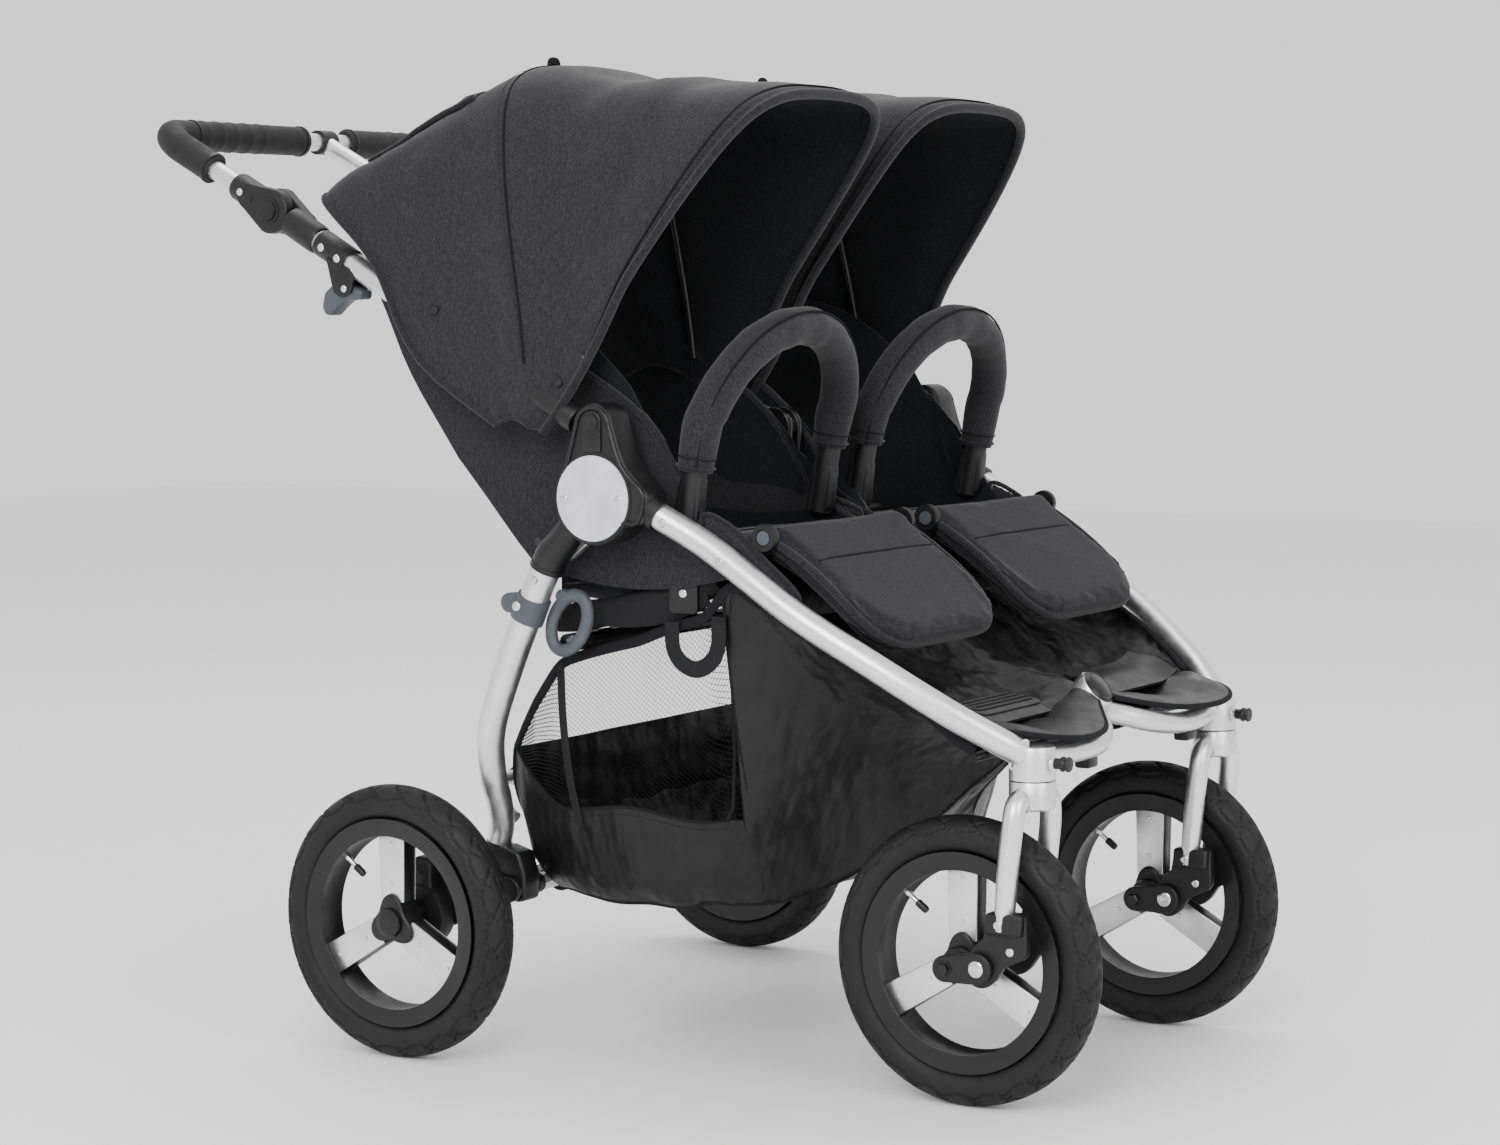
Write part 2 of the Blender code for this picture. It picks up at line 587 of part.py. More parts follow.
def handlebar_line():
    """The bar's centre line from the right arm round to the left arm."""
    start = Vector((HANDLE_PIVOT.x, HANDLE_PIVOT.y, HANDLE_PIVOT.z)) + along(ARM_ANGLE) * 0.028
    arm = along(ARM_ANGLE)
    end = Vector((HANDLE_PIVOT.x, BAR_Y, BAR_Z))
    half = [start, start.lerp(end, 0.45), end - arm * 0.040]
    for degrees in (25, 50, 75):
        a = math.radians(degrees)
        bend = 0.040
        half.append(end - arm * bend * (1 - math.sin(a)) - Vector((bend * 0.7 * (1 - math.cos(a)), 0.0, 0.0)))
    half += [Vector((BAR_CORNER - 0.012, BAR_Y, BAR_Z)), Vector((0.12, BAR_Y, BAR_Z))]
    right = [mirrored(p, -1) for p in half]
    left = [mirrored(p, 1) for p in reversed(half)]
    return right + [Vector((0.0, BAR_Y, BAR_Z))] + left


def make_handlebar():
    name = "handlebar"
    bar = tube(name, handlebar_line(), BAR_RADIUS, SILVER, steps=1)
    arm = along(ARM_ANGLE)
    centre = Vector((0.0, HANDLE_PIVOT.y, HANDLE_PIVOT.z))
    neck = centre + arm * 0.038
    pieces = [tube(f"{name}_centre_arm", [centre + arm * 0.027, Vector((0.0, BAR_Y, BAR_Z))], 0.0110,
                   SILVER, steps=1),
              outline_plate(f"{name}_centre_disc", eye_outline((centre.y, centre.z), (neck.y, neck.z),
                                                               PIVOT_DISC_RADIUS, 0.010),
                            0.0007, 0.0137, BLACK)]
    for side in (-1, 1):
        pivot = mirrored(HANDLE_PIVOT, side)
        pieces.append(outline_plate(f"{name}_disc_{side}", eye_outline((centre.y, centre.z), (neck.y, neck.z),
                                                                       PIVOT_DISC_RADIUS, 0.014),
                                    *sorted((side * 0.2903, side * 0.3053)), BLACK))
        pieces.append(tube(f"{name}_collar_{side}", [pivot + arm * 0.0268, pivot + arm * 0.066], 0.0160,
                           BLACK, steps=1))
    bar = combine(bar, pieces)
    pockets = [cylinder(f"{name}_pocket_{side}", (side * 0.3020, HANDLE_PIVOT.y, HANDLE_PIVOT.z), 0.0120,
                        0.0110, (1, 0, 0), BLACK) for side in (-1, 1)]
    bar = combine(bar, pockets, "DIFFERENCE")
    return round_shading(set_origin(bar, centre))


def make_grip(side_name, side):
    """Foam grip moulded over the bar's corner, from the arm to near the middle."""
    line = handlebar_line()
    middle = len(line) // 2
    half = line[:middle] if side < 0 else list(reversed(line[middle + 1:]))
    arm_start = half[2].lerp(half[1], 0.30)
    sleeve = [arm_start] + half[2:] + [Vector((side * 0.040, BAR_Y, BAR_Z))]
    core = [arm_start.lerp(half[1], 0.5)] + [arm_start] + half[2:] + [Vector((side * 0.030, BAR_Y, BAR_Z))]
    grip = tube(f"grip_{side_name}", sleeve, GRIP_RADIUS, FOAM, steps=1)
    hole = tube(f"grip_{side_name}_hole", core, BAR_RADIUS + 0.0005, FOAM, steps=1, resolution=4)
    return round_shading(combine(grip, [hole], "DIFFERENCE"))


def make_pivot_button(side_name, side):
    button = cylinder(f"height_button_{side_name}", (side * 0.3050, HANDLE_PIVOT.y, HANDLE_PIVOT.z), 0.0115,
                      0.0080, (1, 0, 0), BLACK)
    return round_shading(button)


# ---------------------------------------------------------------- soft parts
def make_seat_base(side_name, side):
    low, high = sorted((side * 0.022, side * 0.3120))
    outline = [(-0.246, 0.560), (-0.246, 0.584), (-0.225, 0.592), (-0.10, 0.580), (0.020, 0.566),
               (0.020, 0.522), (-0.05, 0.516), (-0.16, 0.530)]
    return outline_plate(f"seat_base_{side_name}", outline, low, high, MELANGE)


def make_seat_back(side_name, side):
    """Padded back panel on its board, leaning 52 degrees."""
    low, high = sorted((side * 0.045, side * 0.280))
    y, z = RECLINE_AXIS
    direction, across = along(52.0), along(142.0)
    corners = []
    for s, t in ((0.012, -0.030), (0.390, -0.032), (0.400, -0.017), (0.390, -0.002), (0.012, -0.002)):
        p = direction * s + across * t
        corners.append((y + p.y, z + p.z))
    back = baked(outline_plate(f"seat_back_{side_name}", corners, low, high, LINING))
    return set_origin(back, on_axis(side, RECLINE_AXIS))


def make_calf_flap(side_name, side):
    low, high = sorted((side * 0.030, side * 0.308))
    y, z = CALF_AXIS
    direction, across = along(218.0), along(128.0)
    corners = []
    for s, t in ((-0.006, -0.008), (0.150, -0.010), (0.158, 0.0), (0.150, 0.010), (-0.006, 0.009)):
        p = direction * s + across * t
        corners.append((y + p.y, z + p.z))
    flap = baked(outline_plate(f"calf_flap_{side_name}", corners, low, high, MELANGE))
    return set_origin(flap, on_axis(side, CALF_AXIS))


def make_bumper_bar(side_name, side):
    """Padded grab bar: an arch over the child's lap with both ends beside the seat."""
    half_width, rise, leg_top = 0.1325, 0.1095, 0.700
    points = [(SEAT_CENTRE + half_width, BUMPER_AXIS[0] + 0.001, 0.601)]
    for degrees in range(0, 181, 15):
        a = math.radians(degrees)
        points.append((SEAT_CENTRE + half_width * math.cos(a), -0.180 - 0.041 * math.sin(a),
                       leg_top + rise * math.sin(a)))
    points.append((SEAT_CENTRE - half_width, BUMPER_AXIS[0] + 0.001, 0.601))
    bar = tube(f"bumper_bar_{side_name}", [mirrored(p, side) for p in points], 0.0185, MELANGE, steps=1,
               resolution=4)
    return round_shading(set_origin(baked(bar), on_axis(side, BUMPER_AXIS)))


def arch_point(angle, half_outer, half_inner, height, t, roundness, side):
    """A point of a canopy hoop. t runs from 0, outer end, to 1, inner end."""
    turn = math.pi * t
    c, s = math.cos(turn), math.sin(turn)
    half = half_outer if c > 0 else half_inner
    x = SEAT_CENTRE + math.copysign(half * abs(c) ** (2 / roundness), c)
    reach = height * abs(s) ** (2 / roundness)
    radial = along(angle) * max(reach, 0.030)
    return Vector((side * x, CANOPY_AXIS[0] + radial.y, CANOPY_AXIS[1] + radial.z))


def make_canopy(side_name, side):
    """Hood: a curved shell from the rear edge at the posts to the front rim."""
    stations = ((40.0, 0.380), (60.0, 0.392), (79.5, 0.398), (95.0, 0.390), (110.0, 0.398),
                (127.0, 0.430), (134.0, 0.445))
    rows = []
    for angle, height in stations:
        row = []
        for k in range(17):
            t = k / 16
            # the rim's ends stay back at the front bow while its middle reaches forward
            held = min(angle, FRONT_BOW_ANGLE + (angle - FRONT_BOW_ANGLE) * math.sin(math.pi * t) ** 0.7)
            row.append(arch_point(held, 0.180, 0.150, height, t, 2.4, side))
        rows.append(row)
    return round_shading(sheet(f"canopy_{side_name}", rows, 0.004, MELANGE))


def make_bow(name, side, angle, half_outer, half_inner, height):
    points = [arch_point(angle, half_outer, half_inner, height, k / 20, 2.2, side) for k in range(21)]
    bow = tube(name, points, 0.0040, BLACK, steps=1, resolution=2)
    return round_shading(set_origin(baked(bow), on_axis(side, CANOPY_AXIS)))


# y, top half width, top height, floor half width, floor height of the basket's cross-sections
BASKET_STATIONS = ((-0.482, 0.262, 0.378, 0.245, 0.330), (-0.390, 0.296, 0.445, 0.270, 0.301),
                   (-0.350, 0.306, 0.472, 0.276, 0.279), (-0.310, 0.312, 0.490, 0.280, 0.250), (-0.200, 0.314, 0.508, 0.284, 0.206),
                   (-0.100, 0.306, 0.476, 0.284, 0.190), (0.000, 0.300, 0.450, 0.278, 0.190),
                   (0.050, 0.292, 0.410, 0.254, 0.194), (0.068, 0.288, 0.385, 0.245, 0.205))


def make_basket():
    """Open storage tub under the seats, one fabric shell."""
    rows = []
    for y, top_half, top_z, floor_half, floor_z in BASKET_STATIONS:
        corner = 0.022
        half = [(top_half, top_z), ((top_half + floor_half) / 2, (top_z + floor_z) / 2),
                (floor_half, floor_z + corner), (floor_half - 0.3 * corner, floor_z + 0.3 * corner),
                (floor_half - corner, floor_z), (0.45 * floor_half, floor_z)]
        row = [Vector((-x, y, z)) for x, z in half] + [Vector((x, y, z)) for x, z in reversed(half)]
        rows.append(row)
    return round_shading(sheet("basket", rows, 0.004, RIPSTOP, close_ends=True))


# y, half width at the rails, height at the rails, height of each well, height over the spine
FOOTWELL_STATIONS = ((-0.262, 0.3120, 0.5350, 0.4950, 0.5050), (-0.340, 0.3060, 0.4880, 0.4480, 0.4620),
                     (-0.410, 0.2880, 0.4500, 0.4120, 0.4300), (-0.452, 0.2680, 0.4230, 0.4020, 0.4240))


def make_footwell():
    """Fabric tray between the rails where both children rest their feet, over the centre spine."""
    rows = []
    for y, half, edge_z, well_z, ridge_z in FOOTWELL_STATIONS:
        right = [(half, edge_z), (half * 0.93, edge_z - 0.6 * (edge_z - well_z)), (half * 0.72, well_z),
                 (half * 0.34, well_z), (half * 0.10, ridge_z)]
        row = [Vector((-x, y, z)) for x, z in right] + [Vector((x, y, z)) for x, z in reversed(right)]
        rows.append(row)
    return round_shading(sheet("footwell", rows, 0.004, RIPSTOP))


# ---------------------------------------------------------------- assembly
make_centre_hub()
tube("front_cross_tube", [mirrored(p, -1) for p in CROSS_LINE] + [Vector(p) for p in reversed(CROSS_LINE[:-1])],
     0.0110, SILVER, steps=3, resolution=3)
tube("centre_spine", SPINE_LINE, 0.0150, SILVER, steps=3)
for side_name, side in SIDES:
    make_fork(side_name, side)
    make_front_arm(side_name, side)
    make_lock_knob(side_name, side)
    make_rail(side_name, side)
    make_side_hub(side_name, side)
    make_rear_leg(side_name, side)
    make_rear_arm(side_name, side)
    make_post(side_name, side)
    make_fold_lever(side_name, side)
    make_grip(side_name, side)
    make_pivot_button(side_name, side)
    make_seat_base(side_name, side)
    make_seat_back(side_name, side)
    make_calf_flap(side_name, side)
    make_bumper_bar(side_name, side)
    make_canopy(side_name, side)
    make_bow(f"canopy_front_bow_{side_name}", side, FRONT_BOW_ANGLE, 0.137, 0.140, 0.410)
    make_bow(f"canopy_mid_bow_{side_name}", side, MID_BOW_ANGLE, 0.128, 0.131, 0.382)

INNER_CASTING_FACE = 0.2555
tube("rear_axle_tube", [(-INNER_CASTING_FACE, AXLE_TUBE.y, AXLE_TUBE.z),
                        (INNER_CASTING_FACE, AXLE_TUBE.y, AXLE_TUBE.z)], AXLE_TUBE_RADIUS, SILVER, steps=1)
tube("rear_cross_tube", [(-INNER_CASTING_FACE, 0.100, 0.2170), (INNER_CASTING_FACE, 0.100, 0.2170)], 0.0060,
     SILVER, steps=1, resolution=2)
tube("seat_cross_tube", [(-0.3285, -0.020, 0.4720), (0.3285, -0.020, 0.4720)], 0.0100, BLACK_TUBE, steps=1)
HOOP_LINE = [(0.2520, 0.1090, 0.2620), (0.2510, 0.1350, 0.2780), (0.2400, 0.1560, 0.2900), (0.2150, 0.1640, 0.2940),
             (0.1000, 0.1650, 0.2940), (0.0, 0.1650, 0.2940)]
tube("rear_hoop", [mirrored(p, -1) for p in HOOP_LINE] + [Vector(p) for p in reversed(HOOP_LINE[:-1])],
     0.0080, SILVER, steps=2, resolution=2)
tube("seat_hinge_rod", [(-0.3100, *RECLINE_AXIS), (0.3100, *RECLINE_AXIS)], 0.0050, BLACK_TUBE, steps=1,
     resolution=2)
make_brake_pedal()
make_fold_hook()
make_centre_post()
make_handlebar()
make_footwell()
make_basket()

for obj in list(parts.objects):
    if obj.type == "CURVE":
        round_shading(baked(obj))
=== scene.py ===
"""Looks of the twin jogging stroller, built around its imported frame."""

import math

import bpy
import numpy as np
from mathutils import Matrix, Vector, noise


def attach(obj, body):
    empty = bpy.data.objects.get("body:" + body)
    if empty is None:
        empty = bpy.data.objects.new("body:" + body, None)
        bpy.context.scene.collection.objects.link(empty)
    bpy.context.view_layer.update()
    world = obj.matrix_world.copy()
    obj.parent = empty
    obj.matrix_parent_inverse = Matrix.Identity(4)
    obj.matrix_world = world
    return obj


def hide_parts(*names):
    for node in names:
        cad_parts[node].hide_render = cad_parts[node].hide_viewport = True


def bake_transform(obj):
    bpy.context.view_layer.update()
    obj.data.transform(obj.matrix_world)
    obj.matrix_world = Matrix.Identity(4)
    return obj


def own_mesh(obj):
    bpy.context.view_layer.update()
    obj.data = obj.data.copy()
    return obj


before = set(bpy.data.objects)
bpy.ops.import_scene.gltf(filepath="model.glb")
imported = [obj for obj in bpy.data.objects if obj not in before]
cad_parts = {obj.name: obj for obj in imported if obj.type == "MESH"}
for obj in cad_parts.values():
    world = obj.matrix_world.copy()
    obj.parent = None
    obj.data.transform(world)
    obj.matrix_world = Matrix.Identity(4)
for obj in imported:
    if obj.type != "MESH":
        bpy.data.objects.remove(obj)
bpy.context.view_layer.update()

SIDES = (("right", -1), ("left", 1))
UP = Vector((0, 0, 1))
ACROSS = Vector((1, 0, 0))


# ---------------------------------------------------------------- materials
class Surface:
    """A Principled material with helpers that add procedural detail in object space."""

    def __init__(self, name, color, roughness, metallic=0.0):
        self.mat = bpy.data.materials.new(name)
        self.mat.use_nodes = True
        self.nodes = self.mat.node_tree.nodes
        self.links = self.mat.node_tree.links
        self.shader = self.nodes["Principled BSDF"]
        self.shader.inputs["Base Color"].default_value = (*color, 1)
        self.shader.inputs["Roughness"].default_value = roughness
        self.shader.inputs["Metallic"].default_value = metallic
        self.place = self.nodes.new("ShaderNodeTexCoord").outputs["Object"]
        self.bump_out = None

    def set(self, **values):
        for name, value in values.items():
            self.shader.inputs[name.replace("_", " ")].default_value = value
        return self

    def noise(self, scale, detail=3.0, stretch=(1, 1, 1), roughness=0.5):
        mapping = self.nodes.new("ShaderNodeMapping")
        mapping.inputs["Scale"].default_value = stretch
        self.links.new(self.place, mapping.inputs["Vector"])
        texture = self.nodes.new("ShaderNodeTexNoise")
        texture.inputs["Scale"].default_value = scale
        texture.inputs["Detail"].default_value = detail
        texture.inputs["Roughness"].default_value = roughness
        self.links.new(mapping.outputs["Vector"], texture.inputs["Vector"])
        return texture.outputs["Fac"]

    def wave(self, scale, direction):
        texture = self.nodes.new("ShaderNodeTexWave")
        texture.bands_direction = direction
        texture.inputs["Scale"].default_value = scale
        self.links.new(self.place, texture.inputs["Vector"])
        return texture.outputs["Fac"]

    def math(self, operation, first, second):
        node = self.nodes.new("ShaderNodeMath")
        node.operation = operation
        for socket, value in zip(node.inputs, (first, second)):
            if isinstance(value, (int, float)):
                socket.default_value = value
            else:
                self.links.new(value, socket)
        return node.outputs[0]

    def ramp(self, factor, low, high, first, second):
        ramp = self.nodes.new("ShaderNodeValToRGB")
        ramp.color_ramp.elements[0].position = low
        ramp.color_ramp.elements[1].position = high
        ramp.color_ramp.elements[0].color = (*first, 1)
        ramp.color_ramp.elements[1].color = (*second, 1)
        self.links.new(factor, ramp.inputs["Fac"])
        return ramp.outputs["Color"]

    def color(self, factor, low, high, first, second):
        self.links.new(self.ramp(factor, low, high, first, second), self.shader.inputs["Base Color"])
        return self

    def rough(self, factor, first, second):
        self.links.new(self.ramp(factor, 0.3, 0.7, (first,) * 3, (second,) * 3),
            self.shader.inputs["Roughness"])
        return self

    def bump(self, height, strength, distance):
        node = self.nodes.new("ShaderNodeBump")
        node.inputs["Strength"].default_value = strength
        node.inputs["Distance"].default_value = distance
        self.links.new(height, node.inputs["Height"])
        if self.bump_out is not None:
            self.links.new(self.bump_out, node.inputs["Normal"])
        self.bump_out = node.outputs["Normal"]
        self.links.new(self.bump_out, self.shader.inputs["Normal"])
        return self


def woven(name, dark, light, wrinkle=0.0, sheen=0.35):
    """Melange cloth: flecks stretched along warp and weft, a fine weave and soft creases."""
    s = Surface(name, dark, 0.92).set(Sheen_Weight=sheen, Sheen_Roughness=0.5, Specular_IOR_Level=0.2)
    warp = s.noise(360, 2.0, (0.45, 1.0, 1.9))
    weft = s.noise(360, 2.0, (1.9, 1.4, 0.45))
    fleck = s.math("ADD", s.math("MULTIPLY", warp, 0.5), s.math("MULTIPLY", weft, 0.5))
    s.color(fleck, 0.42, 0.6, dark, light)
    s.bump(fleck, 0.35, 0.0006)
    if wrinkle:
        s.bump(s.noise(16, 2.0, (1, 1, 0.6)), wrinkle, 0.012)
    return s.mat


def moulded(name, color, roughness, grain=0.15):
    s = Surface(name, color, roughness).set(Specular_IOR_Level=0.35)
    lighter = tuple(c * 1.4 + 0.0005 for c in color)
    s.color(s.noise(35, 4.0), 0.3, 0.75, color, lighter)
    s.rough(s.noise(60, 3.0), roughness - 0.06, roughness + 0.08)
    return s.bump(s.noise(1400, 1.0), grain, 0.0003).mat


def satin_metal(name, color, roughness):
    s = Surface(name, color, roughness, 1.0)
    darker = tuple(c * 0.93 for c in color)
    s.color(s.noise(25, 3.0), 0.3, 0.7, darker, color)
    s.rough(s.noise(90, 4.0), roughness - 0.05, roughness + 0.06)
    return s.bump(s.noise(2200, 1.0), 0.04, 0.0002).mat


def ripstop(name, dark, light, wrinkle):
    s = Surface(name, dark, 0.42).set(Specular_IOR_Level=0.3)
    s.color(s.noise(9, 3.0), 0.3, 0.7, dark, light)
    s.rough(s.noise(22, 2.0), 0.36, 0.52)
    grid = s.math("MAXIMUM", s.math("GREATER_THAN", s.wave(58, "X"), 0.94),
        s.math("GREATER_THAN", s.wave(58, "Z"), 0.94))
    s.bump(grid, 0.12, 0.0004)
    s.bump(s.noise(11, 3.0, (1, 1, 0.45), 0.55), wrinkle, 0.04)
    return s.bump(s.noise(42, 2.0), wrinkle * 0.45, 0.005).mat


def webbing(name, color):
    s = Surface(name, color, 0.85).set(Specular_IOR_Level=0.2)
    ribs = s.math("ADD", s.wave(190, "DIAGONAL"), s.noise(500, 1.0))
    return s.bump(ribs, 0.4, 0.0006).mat


MELANGE = woven("charcoal_melange", (0.0095, 0.0093, 0.0108), (0.0215, 0.021, 0.024), 0.12, 0.12)
HEM = woven("charcoal_hem", (0.008, 0.0078, 0.009), (0.0175, 0.0172, 0.0195), 0.0, 0.12)
# the calf flaps are sewn from the hood's charcoal melange; this darker copy is painted shade that offsets
# the extra light their upward faces catch
FLAP_CLOTH_PAINTED_SHADE = woven("charcoal_flap_painted_shade", (0.0062, 0.006, 0.0074), (0.0145, 0.014, 0.0168), 0.12, 0.08)
LINING = woven("black_lining", (0.003, 0.0034, 0.0048), (0.0085, 0.0092, 0.0115), 0.3, 0.1)
THREAD = Surface("black_thread", (0.007, 0.007, 0.008), 0.9).set(Specular_IOR_Level=0.15).mat
NYLON = ripstop("black_ripstop", (0.0024, 0.0024, 0.0026), (0.0055, 0.0055, 0.006), 0.62)
BINDING = webbing("black_binding", (0.006, 0.006, 0.007))
WEBBING = webbing("black_webbing", (0.01, 0.01, 0.011))
NETTING = webbing("black_netting", (0.007, 0.007, 0.008))
SILVER = satin_metal("anodised_silver", (0.8, 0.8, 0.81), 0.36)
STEEL = satin_metal("bright_screw", (0.75, 0.75, 0.76), 0.22)
BLACK = moulded("black_nylon", (0.0045, 0.0045, 0.005), 0.42)
GLOSSY = moulded("black_satin_plastic", (0.0035, 0.0035, 0.004), 0.3, 0.06)
GREY = moulded("slate_plastic", (0.045, 0.052, 0.061), 0.46)
DISC = moulded("light_grey_plate", (0.48, 0.48, 0.51), 0.38, 0.05)
RIM = moulded("black_rim", (0.0045, 0.0045, 0.005), 0.36, 0.05)
FOAM = moulded("grip_rubber", (0.006, 0.006, 0.006), 0.62, 0.5)
PVC = moulded("toe_pad_rubber", (0.006, 0.006, 0.0065), 0.38, 0.35)
RUBBER = Surface("tyre_rubber", (0.02, 0.02, 0.021), 0.62).set(Specular_IOR_Level=0.25)
RUBBER.color(RUBBER.noise(14, 5.0), 0.3, 0.75, (0.006, 0.006, 0.0065), (0.013, 0.013, 0.013))
RUBBER.rough(RUBBER.noise(30, 3.0), 0.52, 0.7).bump(RUBBER.noise(700, 2.0), 0.12, 0.0004)
RUBBER = RUBBER.mat


# ---------------------------------------------------------------- mesh helpers
def finish_mesh(obj, mat, body, angle=40):
    if not obj.data.materials:
        obj.data.materials.append(mat)
    obj.data.shade_smooth()
    obj.data.set_sharp_from_angle(angle=math.radians(angle))
    if body:
        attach(obj, body)
    return obj


def make(name, verts, faces, mat, body=None, angle=40):
    mesh = bpy.data.meshes.new(name)
    mesh.from_pydata([tuple(v) for v in verts], [], faces)
    mesh.validate()
    obj = bpy.data.objects.new(name, mesh)
    bpy.context.scene.collection.objects.link(obj)
    return finish_mesh(obj, mat, body, angle)


def applied(obj):
    """Bakes the object's modifiers into its mesh, keeping its materials and shading."""
    bpy.context.view_layer.update()
    evaluated = obj.evaluated_get(bpy.context.evaluated_depsgraph_get())
    mesh = bpy.data.meshes.new_from_object(evaluated)
    obj.modifiers.clear()
    old, obj.data = obj.data, mesh
    bpy.data.meshes.remove(old)
    return obj


def side_of(point, s):
    """The same point on the side that s names."""
    return Vector((point[0] * s, point[1], point[2]))


def curve_through(points, steps=6, closed=False):
    """Catmull-Rom curve through the points."""
    pts = [Vector(p) for p in points]
    if closed:
        ends = [pts[-1]] + pts + [pts[0], pts[1]]
    else:
        ends = [2 * pts[0] - pts[1]] + pts + [2 * pts[-1] - pts[-2]]
    line = []
    for a, b, c, d in zip(ends, ends[1:], ends[2:], ends[3:]):
        for k in range(steps):
            t = k / steps
            line.append(0.5 * (2 * b + (c - a) * t + (2 * a - 5 * b + 4 * c - d) * t * t
                + (3 * b - a - 3 * c + d) * t ** 3))
    return line if closed else line + [pts[-1]]


def resampled(points, count):
    """Points evenly spaced along a polyline."""
    pts = [Vector(p) for p in points]
    lengths = [0.0]
    for a, b in zip(pts, pts[1:]):
        lengths.append(lengths[-1] + (b - a).length)
    result, k = [], 0
    for i in range(count):
        at = lengths[-1] * i / (count - 1)
        while k < len(pts) - 2 and lengths[k + 1] < at:
            k += 1
        span = max(lengths[k + 1] - lengths[k], 1e-9)
        result.append(pts[k].lerp(pts[k + 1], (at - lengths[k]) / span))
    return result


def circle(radius, count=20):
    return [(radius * math.cos(2 * math.pi * k / count), radius * math.sin(2 * math.pi * k / count))
        for k in range(count)]


def oval(first, second, count=24):
    return [(first * math.cos(2 * math.pi * k / count), second * math.sin(2 * math.pi * k / count))
        for k in range(count)]


def strap_section(width, thickness):
    w, t = width / 2, thickness / 2
    return [(w, -t * 0.4), (w, t * 0.4), (w - t, t), (-w + t, t), (-w, t * 0.4), (-w, -t * 0.4),
        (-w + t, -t), (w - t, -t)]


def frames_along(points, normal=None, closed=False):
    """(first, second) axes across the path at each of its points."""
    count = len(points)
    tangents = []
    for i in range(count):
        before = points[(i - 1) % count] if closed or i else points[0]
        after = points[(i + 1) % count] if closed or i < count - 1 else points[-1]
        tangents.append((after - before).normalized())
    axes = []
    last = None
    for i, t in enumerate(tangents):
        if callable(normal):
            first = t.cross(normal(points[i])).normalized()
        elif normal is not None:
            first = t.cross(Vector(normal)).normalized()
        elif last is None:
            guide = UP if abs(t.z) < 0.9 else ACROSS
            first = t.cross(guide).normalized()
        else:
            first = (last - t * last.dot(t)).normalized()
        last = first
        axes.append((first, first.cross(t).normalized() * -1))
    return axes


def sweep(name, points, section, mat, body=None, normal=None, scale=None, closed=False):
    """A section carried along a path; scale gives its two factors at a share of the length."""
    points = [Vector(p) for p in points]
    count, around = len(points), len(section)
    verts = []
    for i, (first, second) in enumerate(frames_along(points, normal, closed)):
        t = i / (count - 1)
        a, b = scale(t) if scale else (1, 1)
        verts += [points[i] + first * (u * a) + second * (v * b) for u, v in section]
    faces = []
    for i in range(count if closed else count - 1):
        j = (i + 1) % count
        for k in range(around):
            m = (k + 1) % around
            faces.append((i * around + k, i * around + m, j * around + m, j * around + k))
    if not closed:
        faces.append(tuple(reversed(range(around))))
        faces.append(tuple(range((count - 1) * around, count * around)))
    return make(name, verts, faces, mat, body)


def piped(name, points, radius, body, closed=False):
    """Round cloth edge along a path."""
    return sweep(name, points, circle(radius, 10), HEM, body, closed=closed)


def strap_along(name, points, width, thickness, body, normal=UP):
    return sweep(name, points, strap_section(width, thickness), WEBBING, body, normal)


def lathe(name, centre, axis, profile, mat, body=None, sides=32, angle=35):
    """A profile of (radius, height) turned about an axis through the centre."""
    axis = Vector(axis).normalized()
    guide = UP if abs(axis.z) < 0.9 else ACROSS
    first = axis.cross(guide).normalized()
    second = axis.cross(first)
    verts, rings = [], []
    for radius, height in profile:
        if radius < 1e-7:
            rings.append([len(verts)])
            verts.append(Vector(centre) + axis * height)
        else:
            rings.append(list(range(len(verts), len(verts) + sides)))
            for k in range(sides):
                a = 2 * math.pi * k / sides
                verts.append(Vector(centre) + axis * height + (first * math.cos(a)
                    + second * math.sin(a)) * radius)
    faces = []
    for low, high in zip(rings, rings[1:]):
        for k in range(sides):
            m = (k + 1) % sides
            face = []
            for index in (low[k % len(low)], low[m % len(low)], high[m % len(high)], high[k % len(high)]):
                if index not in face:
                    face.append(index)
            if len(face) > 2:
                faces.append(face)
    if len(rings[0]) > 1:
        faces.append(list(reversed(rings[0])))
    if len(rings[-1]) > 1:
        faces.append(rings[-1])
    return make(name, verts, faces, mat, body, angle)


def rivet(name, centre, axis, mat=None, body=None, radius=0.0042, height=0.002):
    """Domed rivet or screw head with a small recess."""
    r, h = radius, height
    profile = [(r, -0.001), (r, h * 0.35), (r * 0.86, h * 0.8), (r * 0.62, h), (r * 0.34, h * 1.02),
        (r * 0.3, h * 0.5), (0, h * 0.5)]
    return lathe(name, centre, axis, profile, mat or STEEL, body, 20)


def plate(name, outline, low, high, mat, body=None, bevel=0.002, segments=3):
    """An outline in the YZ plane given a thickness along X, with rounded edges."""
    low, high = sorted((low, high))
    count = len(outline)
    verts = [(low, y, z) for y, z in outline] + [(high, y, z) for y, z in outline]
    faces = [tuple(range(count)), tuple(reversed(range(count, 2 * count)))]
    for k in range(count):
        m = (k + 1) % count
        faces.append((k, k + count, m + count, m))
    obj = make(name, verts, faces, mat, None)
    rounded(obj, bevel, segments)
    bpy.context.view_layer.update()
    if body:
        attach(obj, body)
    return obj


def rounded(obj, width, segments=3):
    modifier = obj.modifiers.new("round", "BEVEL")
    modifier.width = width
    modifier.segments = segments
    modifier.limit_method = "ANGLE"
    modifier.angle_limit = math.radians(30)
    modifier.harden_normals = False
    applied(obj)
    obj.data.shade_smooth()
    obj.data.set_sharp_from_angle(angle=math.radians(40))
    return obj


